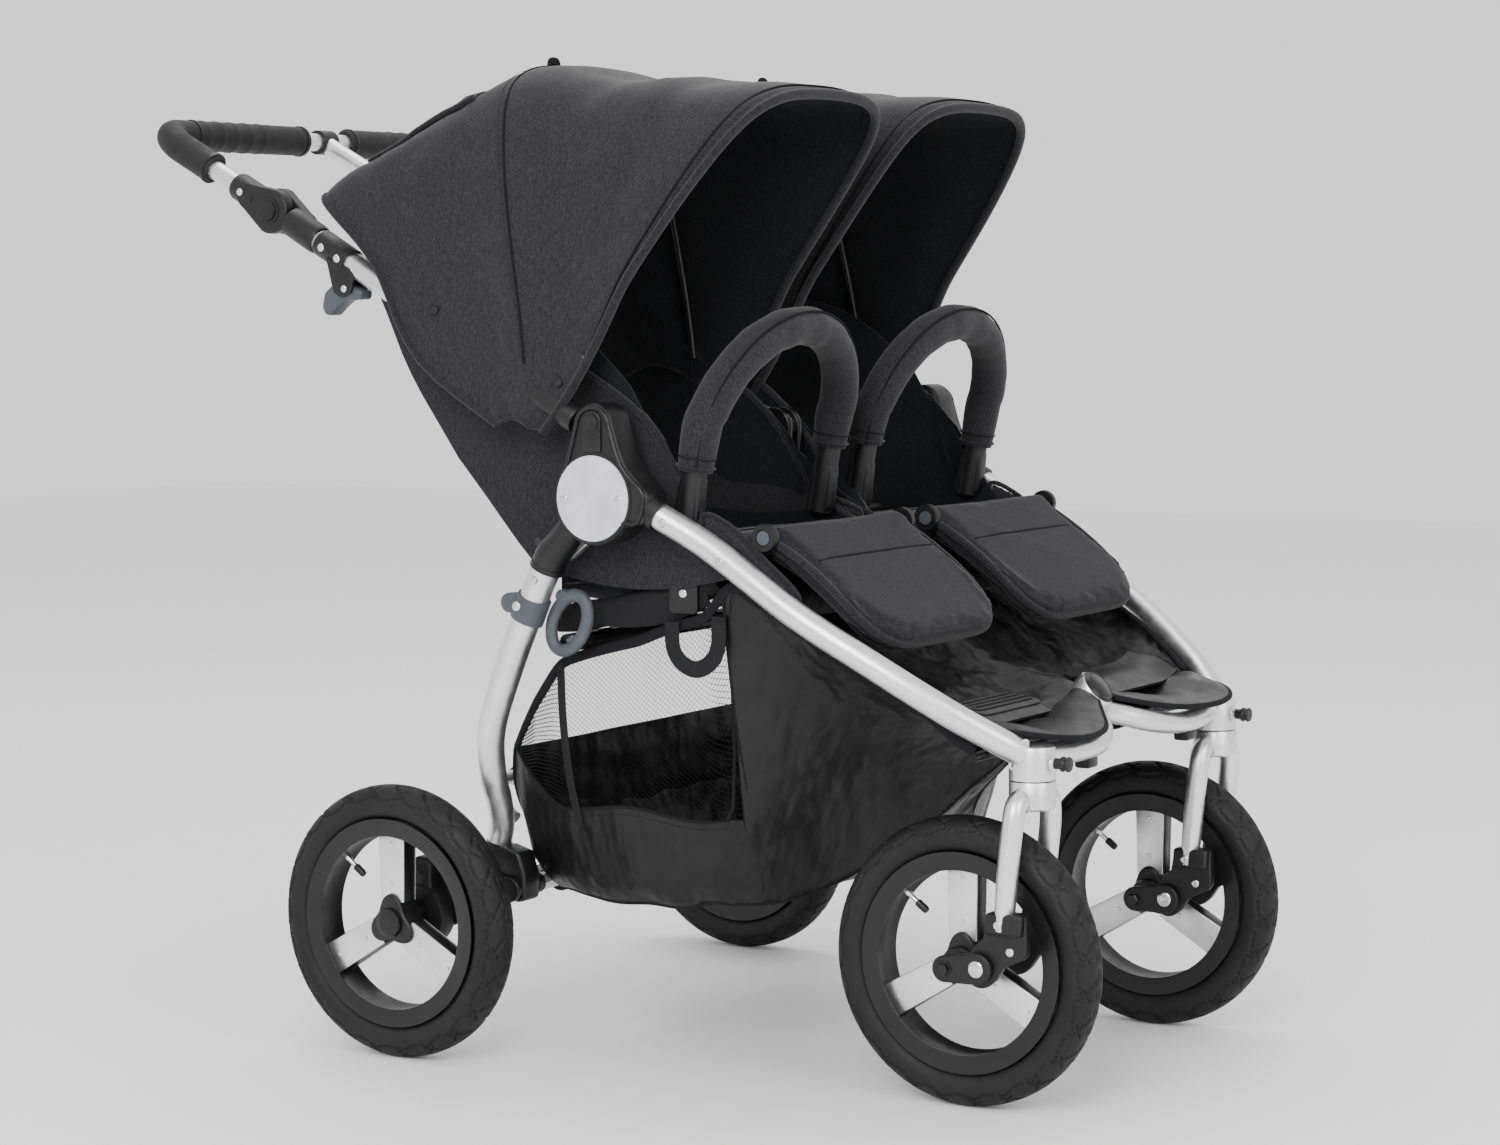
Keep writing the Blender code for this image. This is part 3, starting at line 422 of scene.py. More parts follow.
def arc(centre, radius, start, stop, count):
    return [(centre[0] + radius * math.cos(math.radians(start + (stop - start) * k / (count - 1))),
        centre[1] + radius * math.sin(math.radians(start + (stop - start) * k / (count - 1))))
        for k in range(count)]


def eye_outline(pivot, end, radius, end_radius):
    """Outline of a link with a round eye at both ends."""
    angle = math.degrees(math.atan2(end[1] - pivot[1], end[0] - pivot[0]))
    return (arc(pivot, radius, angle + 90, angle + 270, 14) + arc(end, end_radius, angle - 90, angle + 90,
        14))


def grid(name, rows, mat, body=None, slot=None, thickness=0.0, inner=None, angle=60):
    """A sheet from rows of points. thickness makes it solid, with the inner material on its far side."""
    width = len(rows[0])
    verts = [p for row in rows for p in row]
    faces = []
    for i in range(len(rows) - 1):
        for k in range(width - 1):
            faces.append((i * width + k, i * width + k + 1, (i + 1) * width + k + 1, (i + 1) * width + k))
    obj = make(name, verts, faces, mat, None, angle)
    if thickness:
        modifier = obj.modifiers.new("cloth", "SOLIDIFY")
        modifier.thickness = thickness
        modifier.offset = -1.0
        if inner:
            obj.data.materials.append(inner)
            modifier.material_offset = 1
            modifier.material_offset_rim = 0
    if obj.modifiers:
        applied(obj)
        obj.data.shade_smooth()
        obj.data.set_sharp_from_angle(angle=math.radians(angle))
    if body:
        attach(obj, body)
    return obj


def stitches(name, points, mat, body):
    """A line of short raised threads along a path."""
    radius, dash, gap = 0.0005, 0.0032, 0.0018
    pts = [Vector(p) for p in points]
    total = sum((b - a).length for a, b in zip(pts, pts[1:]))
    count = max(2, int(total / (dash + gap)))
    line = resampled(pts, count * 3 + 1)
    verts, faces = [], []
    for k in range(count):
        a, b = line[3 * k], line[3 * k + 2]
        t = (b - a).normalized()
        first = t.cross(UP if abs(t.z) < 0.9 else ACROSS).normalized()
        second = first.cross(t)
        base = len(verts)
        for p, r in ((a, 0.35), (a.lerp(b, 0.5), 1.0), (b, 0.35)):
            for q in range(4):
                w = math.pi / 2 * q
                verts.append(p + (first * math.cos(w) + second * math.sin(w)) * radius * r)
        for ring in (0, 4):
            for q in range(4):
                m = (q + 1) % 4
                faces.append((base + ring + q, base + ring + m, base + ring + 4 + m, base + ring + 4 + q))
        faces.append((base, base + 1, base + 2, base + 3))
        faces.append((base + 11, base + 10, base + 9, base + 8))
    return make(name, verts, faces, mat, body)


# ---------------------------------------------------------------- wheels
TYRE_R, TYRE_W, TYRE_H = 0.1525, 0.0228, 0.01975
REAR_AXLE = Vector((0.352, 0.199, TYRE_R))
FRONT_AXLE = Vector((0.2213, -0.4511, TYRE_R))


def groove(turn, lean):
    """Depth, 0 to 1, of the tread pattern. turn counts pitches, lean is degrees from the crown."""
    a = abs(lean)
    shift = 0.5 if lean < 0 else 0.0
    depth = 0.0
    phase = (turn + shift) % 1.0
    arcs = 60 + 13 * abs(math.sin(math.pi * phase))
    depth = max(depth, 1 - abs(a - arcs) / 3.2)
    if 9 < a < 58:
        flame = (phase - 0.15 - 0.55 * ((a - 9) / 49) ** 1.4) % 1.0
        width = 0.085 * (1 - 0.55 * (a - 9) / 49)
        depth = max(depth, 1 - abs(flame - 0.5) / width)
    if 26 < a < 52:
        branch = (phase + 0.3 + 0.35 * ((a - 26) / 26)) % 1.0
        depth = max(depth, 1 - abs(branch - 0.5) / 0.045)
    depth = max(depth, 1 - abs(a - 88) / 2.4, 1 - abs(a - 4.5 - 2.5 * abs(2 * phase - 1)) / 1.8)
    return max(0.0, min(1.0, 1.6 * depth))


def tyre_mesh():
    around, across, pitches = 576, 60, 24
    verts = []
    for i in range(around):
        theta = 2 * math.pi * i / around
        for k in range(across):
            share = k / across
            lean = 180 * (2 * share - 1)
            lean = lean * (0.62 + 0.38 * abs(lean) / 180)
            f = math.radians(lean)
            depth = groove(pitches * i / around, lean) if abs(lean) < 96 else 0.0
            cut = 1 - 0.125 * depth
            x = TYRE_W * math.copysign(abs(math.sin(f)) ** 0.86, math.sin(f)) * cut
            r = TYRE_R - TYRE_H + TYRE_H * math.cos(f) * cut
            verts.append((x, r * math.cos(theta), r * math.sin(theta)))
    faces = []
    for i in range(around):
        j = (i + 1) % around
        for k in range(across):
            m = (k + 1) % across
            faces.append((i * across + k, j * across + k, j * across + m, i * across + m))
    mesh = bpy.data.meshes.new("tyre")
    mesh.from_pydata(verts, [], faces)
    mesh.shade_smooth()
    mesh.materials.append(RUBBER)
    return mesh


TYRE_MESH = tyre_mesh()


def polar(radius, degrees):
    a = math.radians(degrees)
    return Vector((0, radius * math.cos(a), radius * math.sin(a)))


def wheel(place, side, centre, hub_low, hub_high):
    body = f"{place}_wheel_{side}"
    tag = f"{place}_{side}"
    tyre = bpy.data.objects.new(f"tyre_{tag}", TYRE_MESH.copy())
    bpy.context.scene.collection.objects.link(tyre)
    tyre.location = centre
    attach(tyre, body)
    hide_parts(f"{place}_tyre_{side}")
    half = [(0.114, 0.0196), (0.1165, 0.02), (0.116, 0.017), (0.112, 0.009), (0.111, 0.0)]
    inner = [(0.1, 0.0), (0.099, 0.012), (0.0972, 0.0165), (0.097, 0.0183), (0.099, 0.0192),
        (0.114, 0.0196)]
    loop = [(r, h) for r, h in half] + [(r, -h) for r, h in reversed(half[:-1])]
    loop += [(r, -h) for r, h in reversed(inner[:-1])][:-1] + [(r, h) for r, h in inner[:-1]]
    ring_verts, ring_faces, sides = [], [], 96
    for k in range(sides):
        a = 2 * math.pi * k / sides
        ring_verts += [centre + Vector((h, r * math.cos(a), r * math.sin(a))) for r, h in loop]
    for k in range(sides):
        m = (k + 1) % sides
        for q in range(len(loop)):
            n = (q + 1) % len(loop)
            ring_faces.append((k * len(loop) + q, k * len(loop) + n, m * len(loop) + n, m * len(loop) + q))
    rim = make(f"rim_{tag}", ring_verts, ring_faces, RIM, body)
    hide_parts(f"{place}_rim_{side}")
    for number, degrees in enumerate((90, 210, 330)):
        turn = math.radians(degrees)
        out = Vector((0, math.cos(turn), math.sin(turn)))
        side_way = Vector((0, -math.sin(turn), math.cos(turn)))
        for kind, mat, stack in (("core", RIM, ((-0.0095, 0.0165), (0.0095, 0.0165))),
                ("face_out", SILVER, ((0.0096, 0.0172), (0.0112, 0.0165))),
                ("face_in", SILVER, ((-0.0112, 0.0165), (-0.0096, 0.0172)))):
            verts = []
            for x, half_width in stack:
                for r, spread in ((0.023, 0.94), (0.0995, 1.06)):
                    for w in (-1, 1):
                        verts.append(centre + out * r + side_way * (w * half_width * spread)
                            + Vector((x, 0, 0)))
            faces = [(0, 1, 3, 2), (4, 6, 7, 5), (0, 4, 5, 1), (2, 3, 7, 6), (0, 2, 6, 4), (1, 5, 7, 3)]
            spoke = make(f"spoke_{kind}_{tag}_{number}", verts, faces, mat, None)
            rounded(spoke, 0.0006, 2)
            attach(spoke, body)
        for n, r in enumerate((0.044, 0.088)):
            for face in (-1, 1):
                rivet(f"spoke_screw_{tag}_{number}_{n}_{'in' if face < 0 else 'out'}",
                    centre + out * r + Vector((face * 0.0112, 0, 0)), (face, 0, 0), STEEL, body, 0.0026,
                    0.0012)
    outline = []
    for k in range(72):
        a = 2 * math.pi * k / 72
        r = 0.0262 + 0.0055 * math.cos(3 * (a - math.pi / 2))
        outline.append((centre.y + r * math.cos(a), centre.z + r * math.sin(a)))
    plate(f"hub_{tag}", outline, centre.x - 0.015, centre.x + 0.015, BLACK, body, 0.003, 3)
    lathe(f"hub_barrel_{tag}", centre, (1, 0, 0), [(0.0085, hub_low), (0.0165, hub_low + 0.0008),
        (0.0175, hub_low + 0.003), (0.0185, 0.0), (0.0175, hub_high - 0.003), (0.0165, hub_high - 0.0008),
        (0.0085, hub_high)], BLACK, body, 36)
    stem = [polar(0.0985, 42), polar(0.07, 44)]
    lathe(f"valve_{tag}", centre + stem[0], stem[1] - stem[0], [(0.0038, -0.004), (0.004, 0.004),
        (0.0029, 0.006), (0.0027, 0.017), (0, 0.017)], STEEL, body, 16)
    lathe(f"valve_cap_{tag}", centre + stem[0].lerp(stem[1], 0.58), stem[1] - stem[0],
        [(0.0034, 0.0), (0.0042, 0.001), (0.0042, 0.011), (0.0034, 0.0145), (0, 0.015)], BLACK, body,
        16)


for side, s in SIDES:
    rear_centre, front_centre = side_of(REAR_AXLE, s), side_of(FRONT_AXLE, s)
    low, high = sorted((s * -0.031, s * 0.012))
    wheel("rear", side, rear_centre, low, high)
    wheel("front", side, front_centre, -0.0265, 0.0265)
    cap = lathe(f"hub_cap_{side}", rear_centre + Vector((s * 0.015, 0, 0)), (s, 0, 0),
        [(0.015, 0), (0.0165, 0.0006), (0.0166, 0.003), (0.0155, 0.0052), (0.012, 0.0066), (0.0075, 0.007),
        (0.0068, 0.0062), (0, 0.006)], GLOSSY, f"hub_cap_{side}", 40)
    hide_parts(f"rear_hub_cap_{side}")


# ---------------------------------------------------------------- casters
SWIVEL_Y = -0.5268
ARM_PIVOT = (-0.489, 0.156)
# outline of the fork's bracket in the YZ plane
BRACKET = ([(-0.4975, 0.214), (-0.542, 0.214)] + arc((-0.532, 0.178), 0.011, 180, 245, 4)
    + [(-0.516, 0.158), (-0.506, 0.144)] + arc((-0.489, 0.151), 0.0165, 225, 330, 7)
    + [(-0.4722, 0.162), (-0.48, 0.176), (-0.493, 0.188)])

for side, s in SIDES:
    x = s * FRONT_AXLE.x
    body = f"caster_{side}"
    crown = lathe(f"fork_crown_{side}", (x, SWIVEL_Y, 0.318), UP, [(0.012, 0), (0.0225, 0.0),
        (0.0243, 0.0018), (0.0243, 0.0278), (0.0236, 0.029), (0.0115, 0.0292), (0.0115, 0.06), (0, 0.06)],
        SILVER, body, 48)
    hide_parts(f"caster_fork_{side}")
    lathe(f"crown_ring_{side}", (x, SWIVEL_Y, 0.3472), UP, [(0.012, 0), (0.024, 0), (0.024, 0.0008),
        (0.012, 0.0008)], BLACK, body, 40)
    for out in (-1, 1):
        leg = curve_through([(x + out * 0.014, SWIVEL_Y, 0.3325), (x + out * 0.035, SWIVEL_Y, 0.326),
            (x + out * 0.042, SWIVEL_Y + 0.001, 0.302), (x + out * 0.0425, SWIVEL_Y + 0.006, 0.255),
            (x + out * 0.0415, SWIVEL_Y + 0.011, 0.198)], 8)
        tag = f"{side}_{'in' if out * s < 0 else 'out'}"
        sweep(f"fork_leg_{tag}", leg, circle(0.0113, 28), SILVER, body,
            scale=lambda t: (1 - 0.12 * max(0, t - 0.8) / 0.2, 1 + 0.08 * max(0, t - 0.8) / 0.2))
        weld = [Vector((x + out * (0.0238 + 0.0015 * math.cos(a)), SWIVEL_Y + 0.0118 * math.sin(a),
            0.329 + 0.0122 * math.cos(a))) for a in [2 * math.pi * k / 36 for k in range(36)]]
        sweep(f"fork_weld_{tag}", weld, circle(0.0016, 8), SILVER, body, closed=True)
        plate(f"fork_bracket_{tag}", BRACKET, x + out * 0.0338, x + out * 0.0442, BLACK, body,
            0.0022, 3)
        face = x + out * 0.0442
        rivet(f"fork_rivet_top_{tag}", (x + out * 0.0528, SWIVEL_Y + 0.012, 0.204), (out, 0, 0), STEEL,
            body, 0.005, 0.0022)
        rivet(f"fork_rivet_low_{tag}", (face, -0.524, 0.176), (out, 0, 0), STEEL, body, 0.0046, 0.002)
        plate(f"fork_cuff_{tag}", [(-0.4985, 0.1935), (-0.54, 0.1935), (-0.5415, 0.216), (-0.5, 0.216)],
            x + out * 0.03, x + out * 0.053, BLACK, body, 0.0035, 3)
        arm_body = f"front_link_{side}"
        arm = plate(f"link_{tag}", eye_outline(ARM_PIVOT, (FRONT_AXLE.y, FRONT_AXLE.z), 0.0165, 0.014),
            x + out * 0.045, x + out * 0.0522, BLACK, arm_body, 0.002, 3)
        if out < 0:
            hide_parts(f"front_arm_{side}")
        lathe(f"link_bolt_{tag}", (x + out * 0.052, FRONT_AXLE.y, FRONT_AXLE.z), (out, 0, 0),
            [(0.0095, -0.001), (0.0095, 0.0012), (0.0072, 0.0015), (0.0072, 0.005), (0.0058, 0.0062),
            (0, 0.0062)], GLOSSY, arm_body, 6, 30)
        lathe(f"link_pivot_{tag}", (x + out * 0.052, *ARM_PIVOT), (out, 0, 0),
            [(0.0085, -0.001), (0.0085, 0.001), (0.0065, 0.0022), (0.003, 0.0024), (0.0026, 0.0012),
            (0, 0.0012)], STEEL, arm_body, 24)
    lathe(f"front_axle_{side}", (x, FRONT_AXLE.y, FRONT_AXLE.z), (1, 0, 0),
        [(0, -0.046), (0.006, -0.046), (0.006, 0.046), (0, 0.046)], STEEL, f"front_link_{side}", 20)
    knob = lathe(f"lock_knob_{side}", (x, SWIVEL_Y - 0.016, 0.366), (0, -1, 0),
        [(0, 0), (0.003, 0), (0.003, 0.01), (0.0058, 0.0105), (0.0058, 0.017), (0.0076, 0.018),
        (0.008, 0.02), (0.0066, 0.022), (0.0066, 0.0235), (0.008, 0.025), (0.0076, 0.027), (0, 0.0278)],
        BLACK, f"lock_{side}", 24)
    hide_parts(f"swivel_lock_{side}")
    lathe(f"lock_boss_{side}", (x, SWIVEL_Y - 0.0215, 0.366), (0, -1, 0),
        [(0.0066, 0), (0.0066, 0.005), (0.0045, 0.0056), (0.0034, 0.0056), (0.0034, 0)], SILVER, "chassis",
        20)

# ---------------------------------------------------------------- fixed front frame
# paths of the tubes' middle lines, in metres, for the left side where there are two
RAIL = [(0.3489, -0.156, 0.6142), (0.3385, -0.215, 0.58), (0.3336, -0.3102, 0.5175),
    (0.3172, -0.3907, 0.469), (0.2866, -0.4626, 0.4207), (0.254, -0.507, 0.389), (0.237, -0.5215, 0.377)]
CROSS = [(0.199, -0.5268, 0.372), (0.15, -0.537, 0.369), (0.1, -0.537, 0.369), (0.055, -0.523, 0.376),
    (0.02, -0.499, 0.387), (0.0, -0.493, 0.3895)]

for side, s in SIDES:
    line = curve_through([side_of(p, s) for p in RAIL], 10)
    rail = sweep(f"rail_{side}", line, circle(0.0143, 36), SILVER, "chassis")
    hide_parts(f"side_rail_{side}")
    x = s * FRONT_AXLE.x
    lathe(f"head_tube_{side}", (x, SWIVEL_Y, 0.348), UP, [(0.0125, 0), (0.0238, 0), (0.0243, 0.0006),
        (0.0243, 0.031), (0.023, 0.0345), (0.018, 0.0362), (0, 0.0366)], SILVER, "chassis",
        48)
    weld = [Vector((x + s * 0.015, SWIVEL_Y + 0.005, 0.3755)) + side_of((0.0052 * math.cos(a),
        -0.0152 * math.sin(a) * 0.55, 0.015 * math.sin(a)), s) + Vector((s * 0.005, 0.0035 * math.cos(a),
        0)) for a in [2 * math.pi * k / 40 for k in range(40)]]
    sweep(f"rail_weld_{side}", weld, circle(0.0017, 8), SILVER, "chassis", closed=True)
    for number, share in enumerate((0.035, 0.2)):
        at = line[int(share * (len(line) - 1))]
        rivet(f"rail_rivet_{side}_{number}", at + Vector((s * 0.0141, 0, 0)), (s, -0.05, 0.05), STEEL,
            "chassis", 0.0046, 0.0022)
cross = sweep("cross_tube", curve_through([side_of(p, -1) for p in CROSS]
    + [Vector(p) for p in reversed(CROSS[:-1])], 8), circle(0.0118, 28), SILVER, "chassis")
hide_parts("front_cross_tube")
SPINE = [(0.0, -0.483, 0.421), (0.0, -0.45, 0.393), (0.0, -0.39, 0.388), (0.0, -0.3, 0.42),
    (0.0, -0.2, 0.478), (0.0, -0.13, 0.535), (0.0, -0.084, 0.588)]
spine = sweep("spine_tube", curve_through(SPINE, 8), circle(0.015, 28), SILVER, "chassis")
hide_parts("centre_spine")
nose = (Vector(SPINE[0]) - Vector(SPINE[1])).normalized()
nose_end = Vector((0, -0.486, 0.413))
lathe("spine_collar", nose_end - nose * 0.022, nose, [(0.016, 0), (0.0215, 0.002), (0.022, 0.026),
    (0.0208, 0.028), (0.015, 0.028)], SILVER, "chassis", 44)
lathe("spine_cap", nose_end + nose * 0.0045, nose, [(0.0204, 0), (0.0208, 0.0018), (0.018, 0.0046),
    (0.0158, 0.0042), (0.0144, 0.0052), (0, 0.0062)], GLOSSY, "chassis", 40)

sweep("spine_sleeve", curve_through(SPINE[2:], 8), circle(0.0162, 24), NYLON, "chassis")

# ---------------------------------------------------------------- hubs
POST_FOLD, LEG_FOLD = (-0.084, 0.693), (-0.084, 0.631)
HUB_OUTLINE = (arc((-0.084, 0.708), 0.0235, 5, 175, 14) + [(-0.116, 0.684), (-0.126, 0.664), (-0.14, 0.65),
    (-0.1545, 0.635), (-0.147, 0.605)] + arc(LEG_FOLD, 0.05, 213, 325, 14)
    + arc(LEG_FOLD, 0.047, -14, 32, 6))

for side, s in SIDES:
    hub = plate(f"hub_housing_{side}", HUB_OUTLINE, s * 0.3275, s * 0.3665, BLACK, "chassis",
        0.0045, 4)
    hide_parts(f"side_hub_{side}")
    rimline = [Vector((s * 0.3668, y + (y + 0.084) * -0.1, z + (z - 0.655) * -0.06))
        for y, z in HUB_OUTLINE]
    sweep(f"hub_edge_{side}", curve_through(rimline, 3, True), circle(0.0026, 10), GLOSSY, "chassis",
        closed=True)
    lathe(f"hub_disc_{side}", (s * 0.3655, *LEG_FOLD), (s, 0, 0), [(0.0452, 0), (0.0456, 0.003),
        (0.044, 0.0046), (0, 0.005)], DISC, "chassis", 72)
    lathe(f"hub_disc_seat_{side}", (s * 0.3645, *LEG_FOLD), (s, 0, 0),
        [(0.049, 0), (0.0488, 0.0028), (0.0466, 0.003), (0.046, 0.0014), (0, 0.0014)], BLACK, "chassis",
        72)
    for number, dy in enumerate((-0.0345, 0.0345)):
        rivet(f"disc_screw_{side}_{number}", (s * 0.3703, LEG_FOLD[0] + dy, LEG_FOLD[1]), (s, 0, 0), STEEL,
            "chassis", 0.0044, 0.0016)
    slot_shape = [(-0.0955, 0.68), (-0.0725, 0.68), (-0.072, 0.715), (-0.078, 0.7235), (-0.09, 0.7235),
        (-0.096, 0.715)]
    plate(f"fold_slide_{side}", slot_shape, s * 0.366, s * 0.3685, GLOSSY, "chassis",
        0.001, 2)
    lathe(f"fold_slide_dimple_{side}", (s * 0.3683, -0.084, 0.711), (s, 0, 0),
        [(0.0085, 0), (0.0082, 0.0012), (0.0066, 0.0013), (0.004, 0.0004), (0, 0.0)], BLACK, "chassis",
        32)
    sleeve = curve_through([side_of(p, s) for p in ((0.349, -0.131, 0.629), (0.349, -0.145, 0.6208),
        (0.3488, -0.158, 0.613))], 3)
    sweep(f"rail_socket_{side}", sleeve, circle(0.0172, 32), BLACK, "chassis")
block = plate("centre_hub_housing", arc(POST_FOLD, 0.0225, 0, 180, 14) + [(-0.106, 0.606), (-0.06, 0.606)],
    -0.014, -0.0058, GLOSSY, "chassis", 0.0025, 3)
plate("centre_hub_cheek", arc(POST_FOLD, 0.0225, 0, 180, 14) + [(-0.106, 0.606), (-0.06, 0.606)], 0.0058,
    0.014, GLOSSY, "chassis", 0.0025, 3)
plate("centre_hub_foot", [(-0.104, 0.586), (-0.104, 0.65), (-0.064, 0.65), (-0.064, 0.586)], -0.0138,
    0.0138, BLACK, "chassis", 0.003, 3)
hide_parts("centre_hub")

# ---------------------------------------------------------------- rear legs and axle
LEG = [(0.349, -0.018, 0.572), (0.347, 0.012, 0.514), (0.345, 0.047, 0.44), (0.338, 0.076, 0.372),
    (0.318, 0.09, 0.318), (0.295, 0.1, 0.288), (0.276, 0.111, 0.258), (0.271, 0.119, 0.234),
    (0.271, 0.123, 0.215)]
AXLE = (0.089, 0.188)

for side, s in SIDES:
    line = curve_through([side_of(p, s) for p in LEG], 8)
    leg = sweep(f"leg_{side}", line, oval(0.016, 0.0148, 32), SILVER, "rear_frame",
        scale=lambda t: (1.08 - 0.26 * t, 1.1 - 0.24 * t))
    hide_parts(f"rear_leg_{side}")
    eye = eye_outline(LEG_FOLD, (-0.018, 0.5715), 0.018, 0.012)
    plate(f"leg_eye_{side}", eye, s * 0.3152, s * 0.3264, SILVER, "rear_frame", 0.0015, 2)
    top = [side_of(p, s) for p in ((0.3495, -0.05, 0.605), (0.3493, -0.033, 0.585), (0.349, -0.019, 0.57),
        (0.3485, -0.011, 0.556))]
    sweep(f"leg_socket_{side}", curve_through(top, 5), oval(0.0196, 0.018, 32), BLACK, "rear_frame",
        scale=lambda t: (0.86 + 0.16 * min(1, t * 1.6), 0.86 + 0.14 * min(1, t * 1.6)))
    lip = curve_through([side_of(p, s) for p in ((0.3486, -0.0122, 0.558), (0.3485, -0.0095, 0.553))], 2)
    sweep(f"leg_socket_lip_{side}", lip, oval(0.0205, 0.019, 32), BLACK, "rear_frame")
    rivet(f"leg_rivet_{side}", (s * 0.365, -0.004, 0.542), (s, 0.1, 0.05), STEEL, "rear_frame", 0.0048,
        0.0022)
    clamp = curve_through([side_of(p, s) for p in ((0.3472, 0.008, 0.522), (0.3463, 0.02, 0.497))], 3)
    if s < 0:
        sweep("hook_clamp", clamp, oval(0.019, 0.0178, 32), GREY, "rear_frame")
        plate("hook_clamp_tab", arc((0.038, 0.515), 0.011, -90, 90, 10) + [(0.01, 0.5265), (0.01, 0.503)],
            -0.356, -0.34, GREY, "rear_frame", 0.003, 3)
        rivet("hook_clamp_screw", (-0.3655, 0.019, 0.513), (-1, 0, 0.05), STEEL, "rear_frame", 0.0052,
            0.0022)
    casting = [(0.074, 0.176), (0.083, 0.172), (0.11, 0.175), (0.138, 0.2), (0.139, 0.226), (0.104, 0.234),
        (0.082, 0.228), (0.074, 0.205)]
    plate(f"leg_casting_{side}", casting, s * 0.2562, s * 0.286, BLACK, "rear_frame",
        0.004, 3)
    sweep(f"leg_shoe_{side}", curve_through([side_of(p, s) for p in ((0.2712, 0.118, 0.236),
        (0.271, 0.125, 0.206))], 3), oval(0.015, 0.015, 28), BLACK, "rear_frame")
    link = f"rear_link_{side}"
    arm = plate(f"rear_arm_plate_{side}", arc(AXLE, 0.014, 110, 250, 10)
        + arc((0.199, 0.1525), 0.024, -100, 20, 10) + arc((0.187, 0.1975), 0.013, 10, 130, 10), s * 0.2868,
        s * 0.2958, BLACK, link, 0.0025, 3)
    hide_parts(f"rear_arm_{side}")
    lathe(f"brake_drum_{side}", (s * 0.2955, 0.199, 0.1525), (s, 0, 0),
        [(0.03, 0), (0.0352, 0.001), (0.036, 0.004), (0.036, 0.02), (0.034, 0.024), (0.02, 0.025),
        (0, 0.025)], BLACK, link, 56)
    lobe = arc((0.196, 0.205), 0.015, -20, 200, 14) + [(0.18, 0.17), (0.214, 0.17)]
    plate(f"brake_lobe_{side}", lobe, s * 0.2962, s * 0.317, BLACK, link, 0.0035, 3)
    rivet(f"brake_screw_{side}", (s * 0.3168, 0.196, 0.205), (s, 0, 0), BLACK, link, 0.0058, 0.002)
    lathe(f"rear_stub_{side}", (s * 0.303, 0.199, 0.1525), (s, 0, 0),
        [(0, 0), (0.006, 0), (0.006, 0.06), (0, 0.06)], STEEL, link, 20)
for name, mat in (("rear_axle_tube", SILVER), ("rear_cross_tube", SILVER), ("rear_hoop", SILVER),
        ("seat_cross_tube", BLACK)):
    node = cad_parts[name]
    node.data.materials.clear()
    node.data.materials.append(mat)
    node.data.shade_smooth()
HOOP = [(0.256, 0.108, 0.261), (0.252, 0.135, 0.278), (0.24, 0.156, 0.29), (0.215, 0.164, 0.294),
    (0.1, 0.165, 0.294), (0.0, 0.165, 0.294)]
hoop_line = curve_through([side_of(p, -1) for p in HOOP] + [Vector(p) for p in reversed(HOOP[:-1])], 8)
hoop = sweep("hoop_tube", hoop_line, circle(0.008, 24), SILVER, "rear_frame")
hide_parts("rear_hoop")
PEDAL_X = -0.17
pedal = lathe("brake_ring", (PEDAL_X - 0.03, *AXLE), (1, 0, 0), [(0.0106, 0), (0.016, 0.0), (0.0166, 0.002),
    (0.0166, 0.058), (0.016, 0.06), (0.0106, 0.06)], BLACK, "brake", 36)
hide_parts("brake_pedal")
plate("brake_paddle", [(0.1, 0.178), (0.1, 0.1895), (0.13, 0.1905), (0.16, 0.187), (0.161, 0.18),
    (0.13, 0.1785)], PEDAL_X - 0.03, PEDAL_X + 0.03, BLACK, "brake", 0.0025, 3)
for k in range(5):
    y = 0.118 + 0.009 * k
    sweep(f"brake_tread_{k}", [(PEDAL_X - 0.024, y, 0.19 - 0.0008 * k),
        (PEDAL_X + 0.024, y, 0.19 - 0.0008 * k)], circle(0.0014, 8), FOAM, "brake")

# the loop that holds the folded frame
LOOP_C = (-0.028, 0.4945)
ring = []
for k in range(48):
    a = 2 * math.pi * k / 48
    c, sn = math.cos(a), math.sin(a)
    ring.append(Vector((-0.3343, LOOP_C[0] + 0.0215 * c - 0.011 * sn, LOOP_C[1] + 0.03 * sn + 0.003 * c)))
hook = sweep("hook_loop", ring, oval(0.0072, 0.006, 16), GREY, "hook", normal=(1, 0, 0),
    closed=True)
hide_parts("fold_hook")
plate("hook_bridge", [(-0.04, 0.476), (-0.03, 0.47), (-0.024, 0.476), (-0.033, 0.483)], -0.3372, -0.3314,
    GREY, "hook", 0.0015, 2)
lathe("hook_pin", (-0.33, -0.02, 0.523), (-1, 0, 0), [(0, 0), (0.0075, 0), (0.0075, 0.008), (0.006, 0.0095),
    (0, 0.0095)], GREY, "hook", 24)

# ---------------------------------------------------------------- posts and handle
HANDLE = Vector((0.29, 0.408, 0.942))
POST0 = Vector((0.345, -0.084, 0.693))
ARM = Vector((0, math.cos(math.atan2(0.093, 0.176)), math.sin(math.atan2(0.093, 0.176))))
BAR_Y, BAR_Z = 0.584, 1.035


def post_at(distance, s):
    start, end = side_of(POST0, s), side_of(HANDLE, s)
    return start + (end - start).normalized() * distance


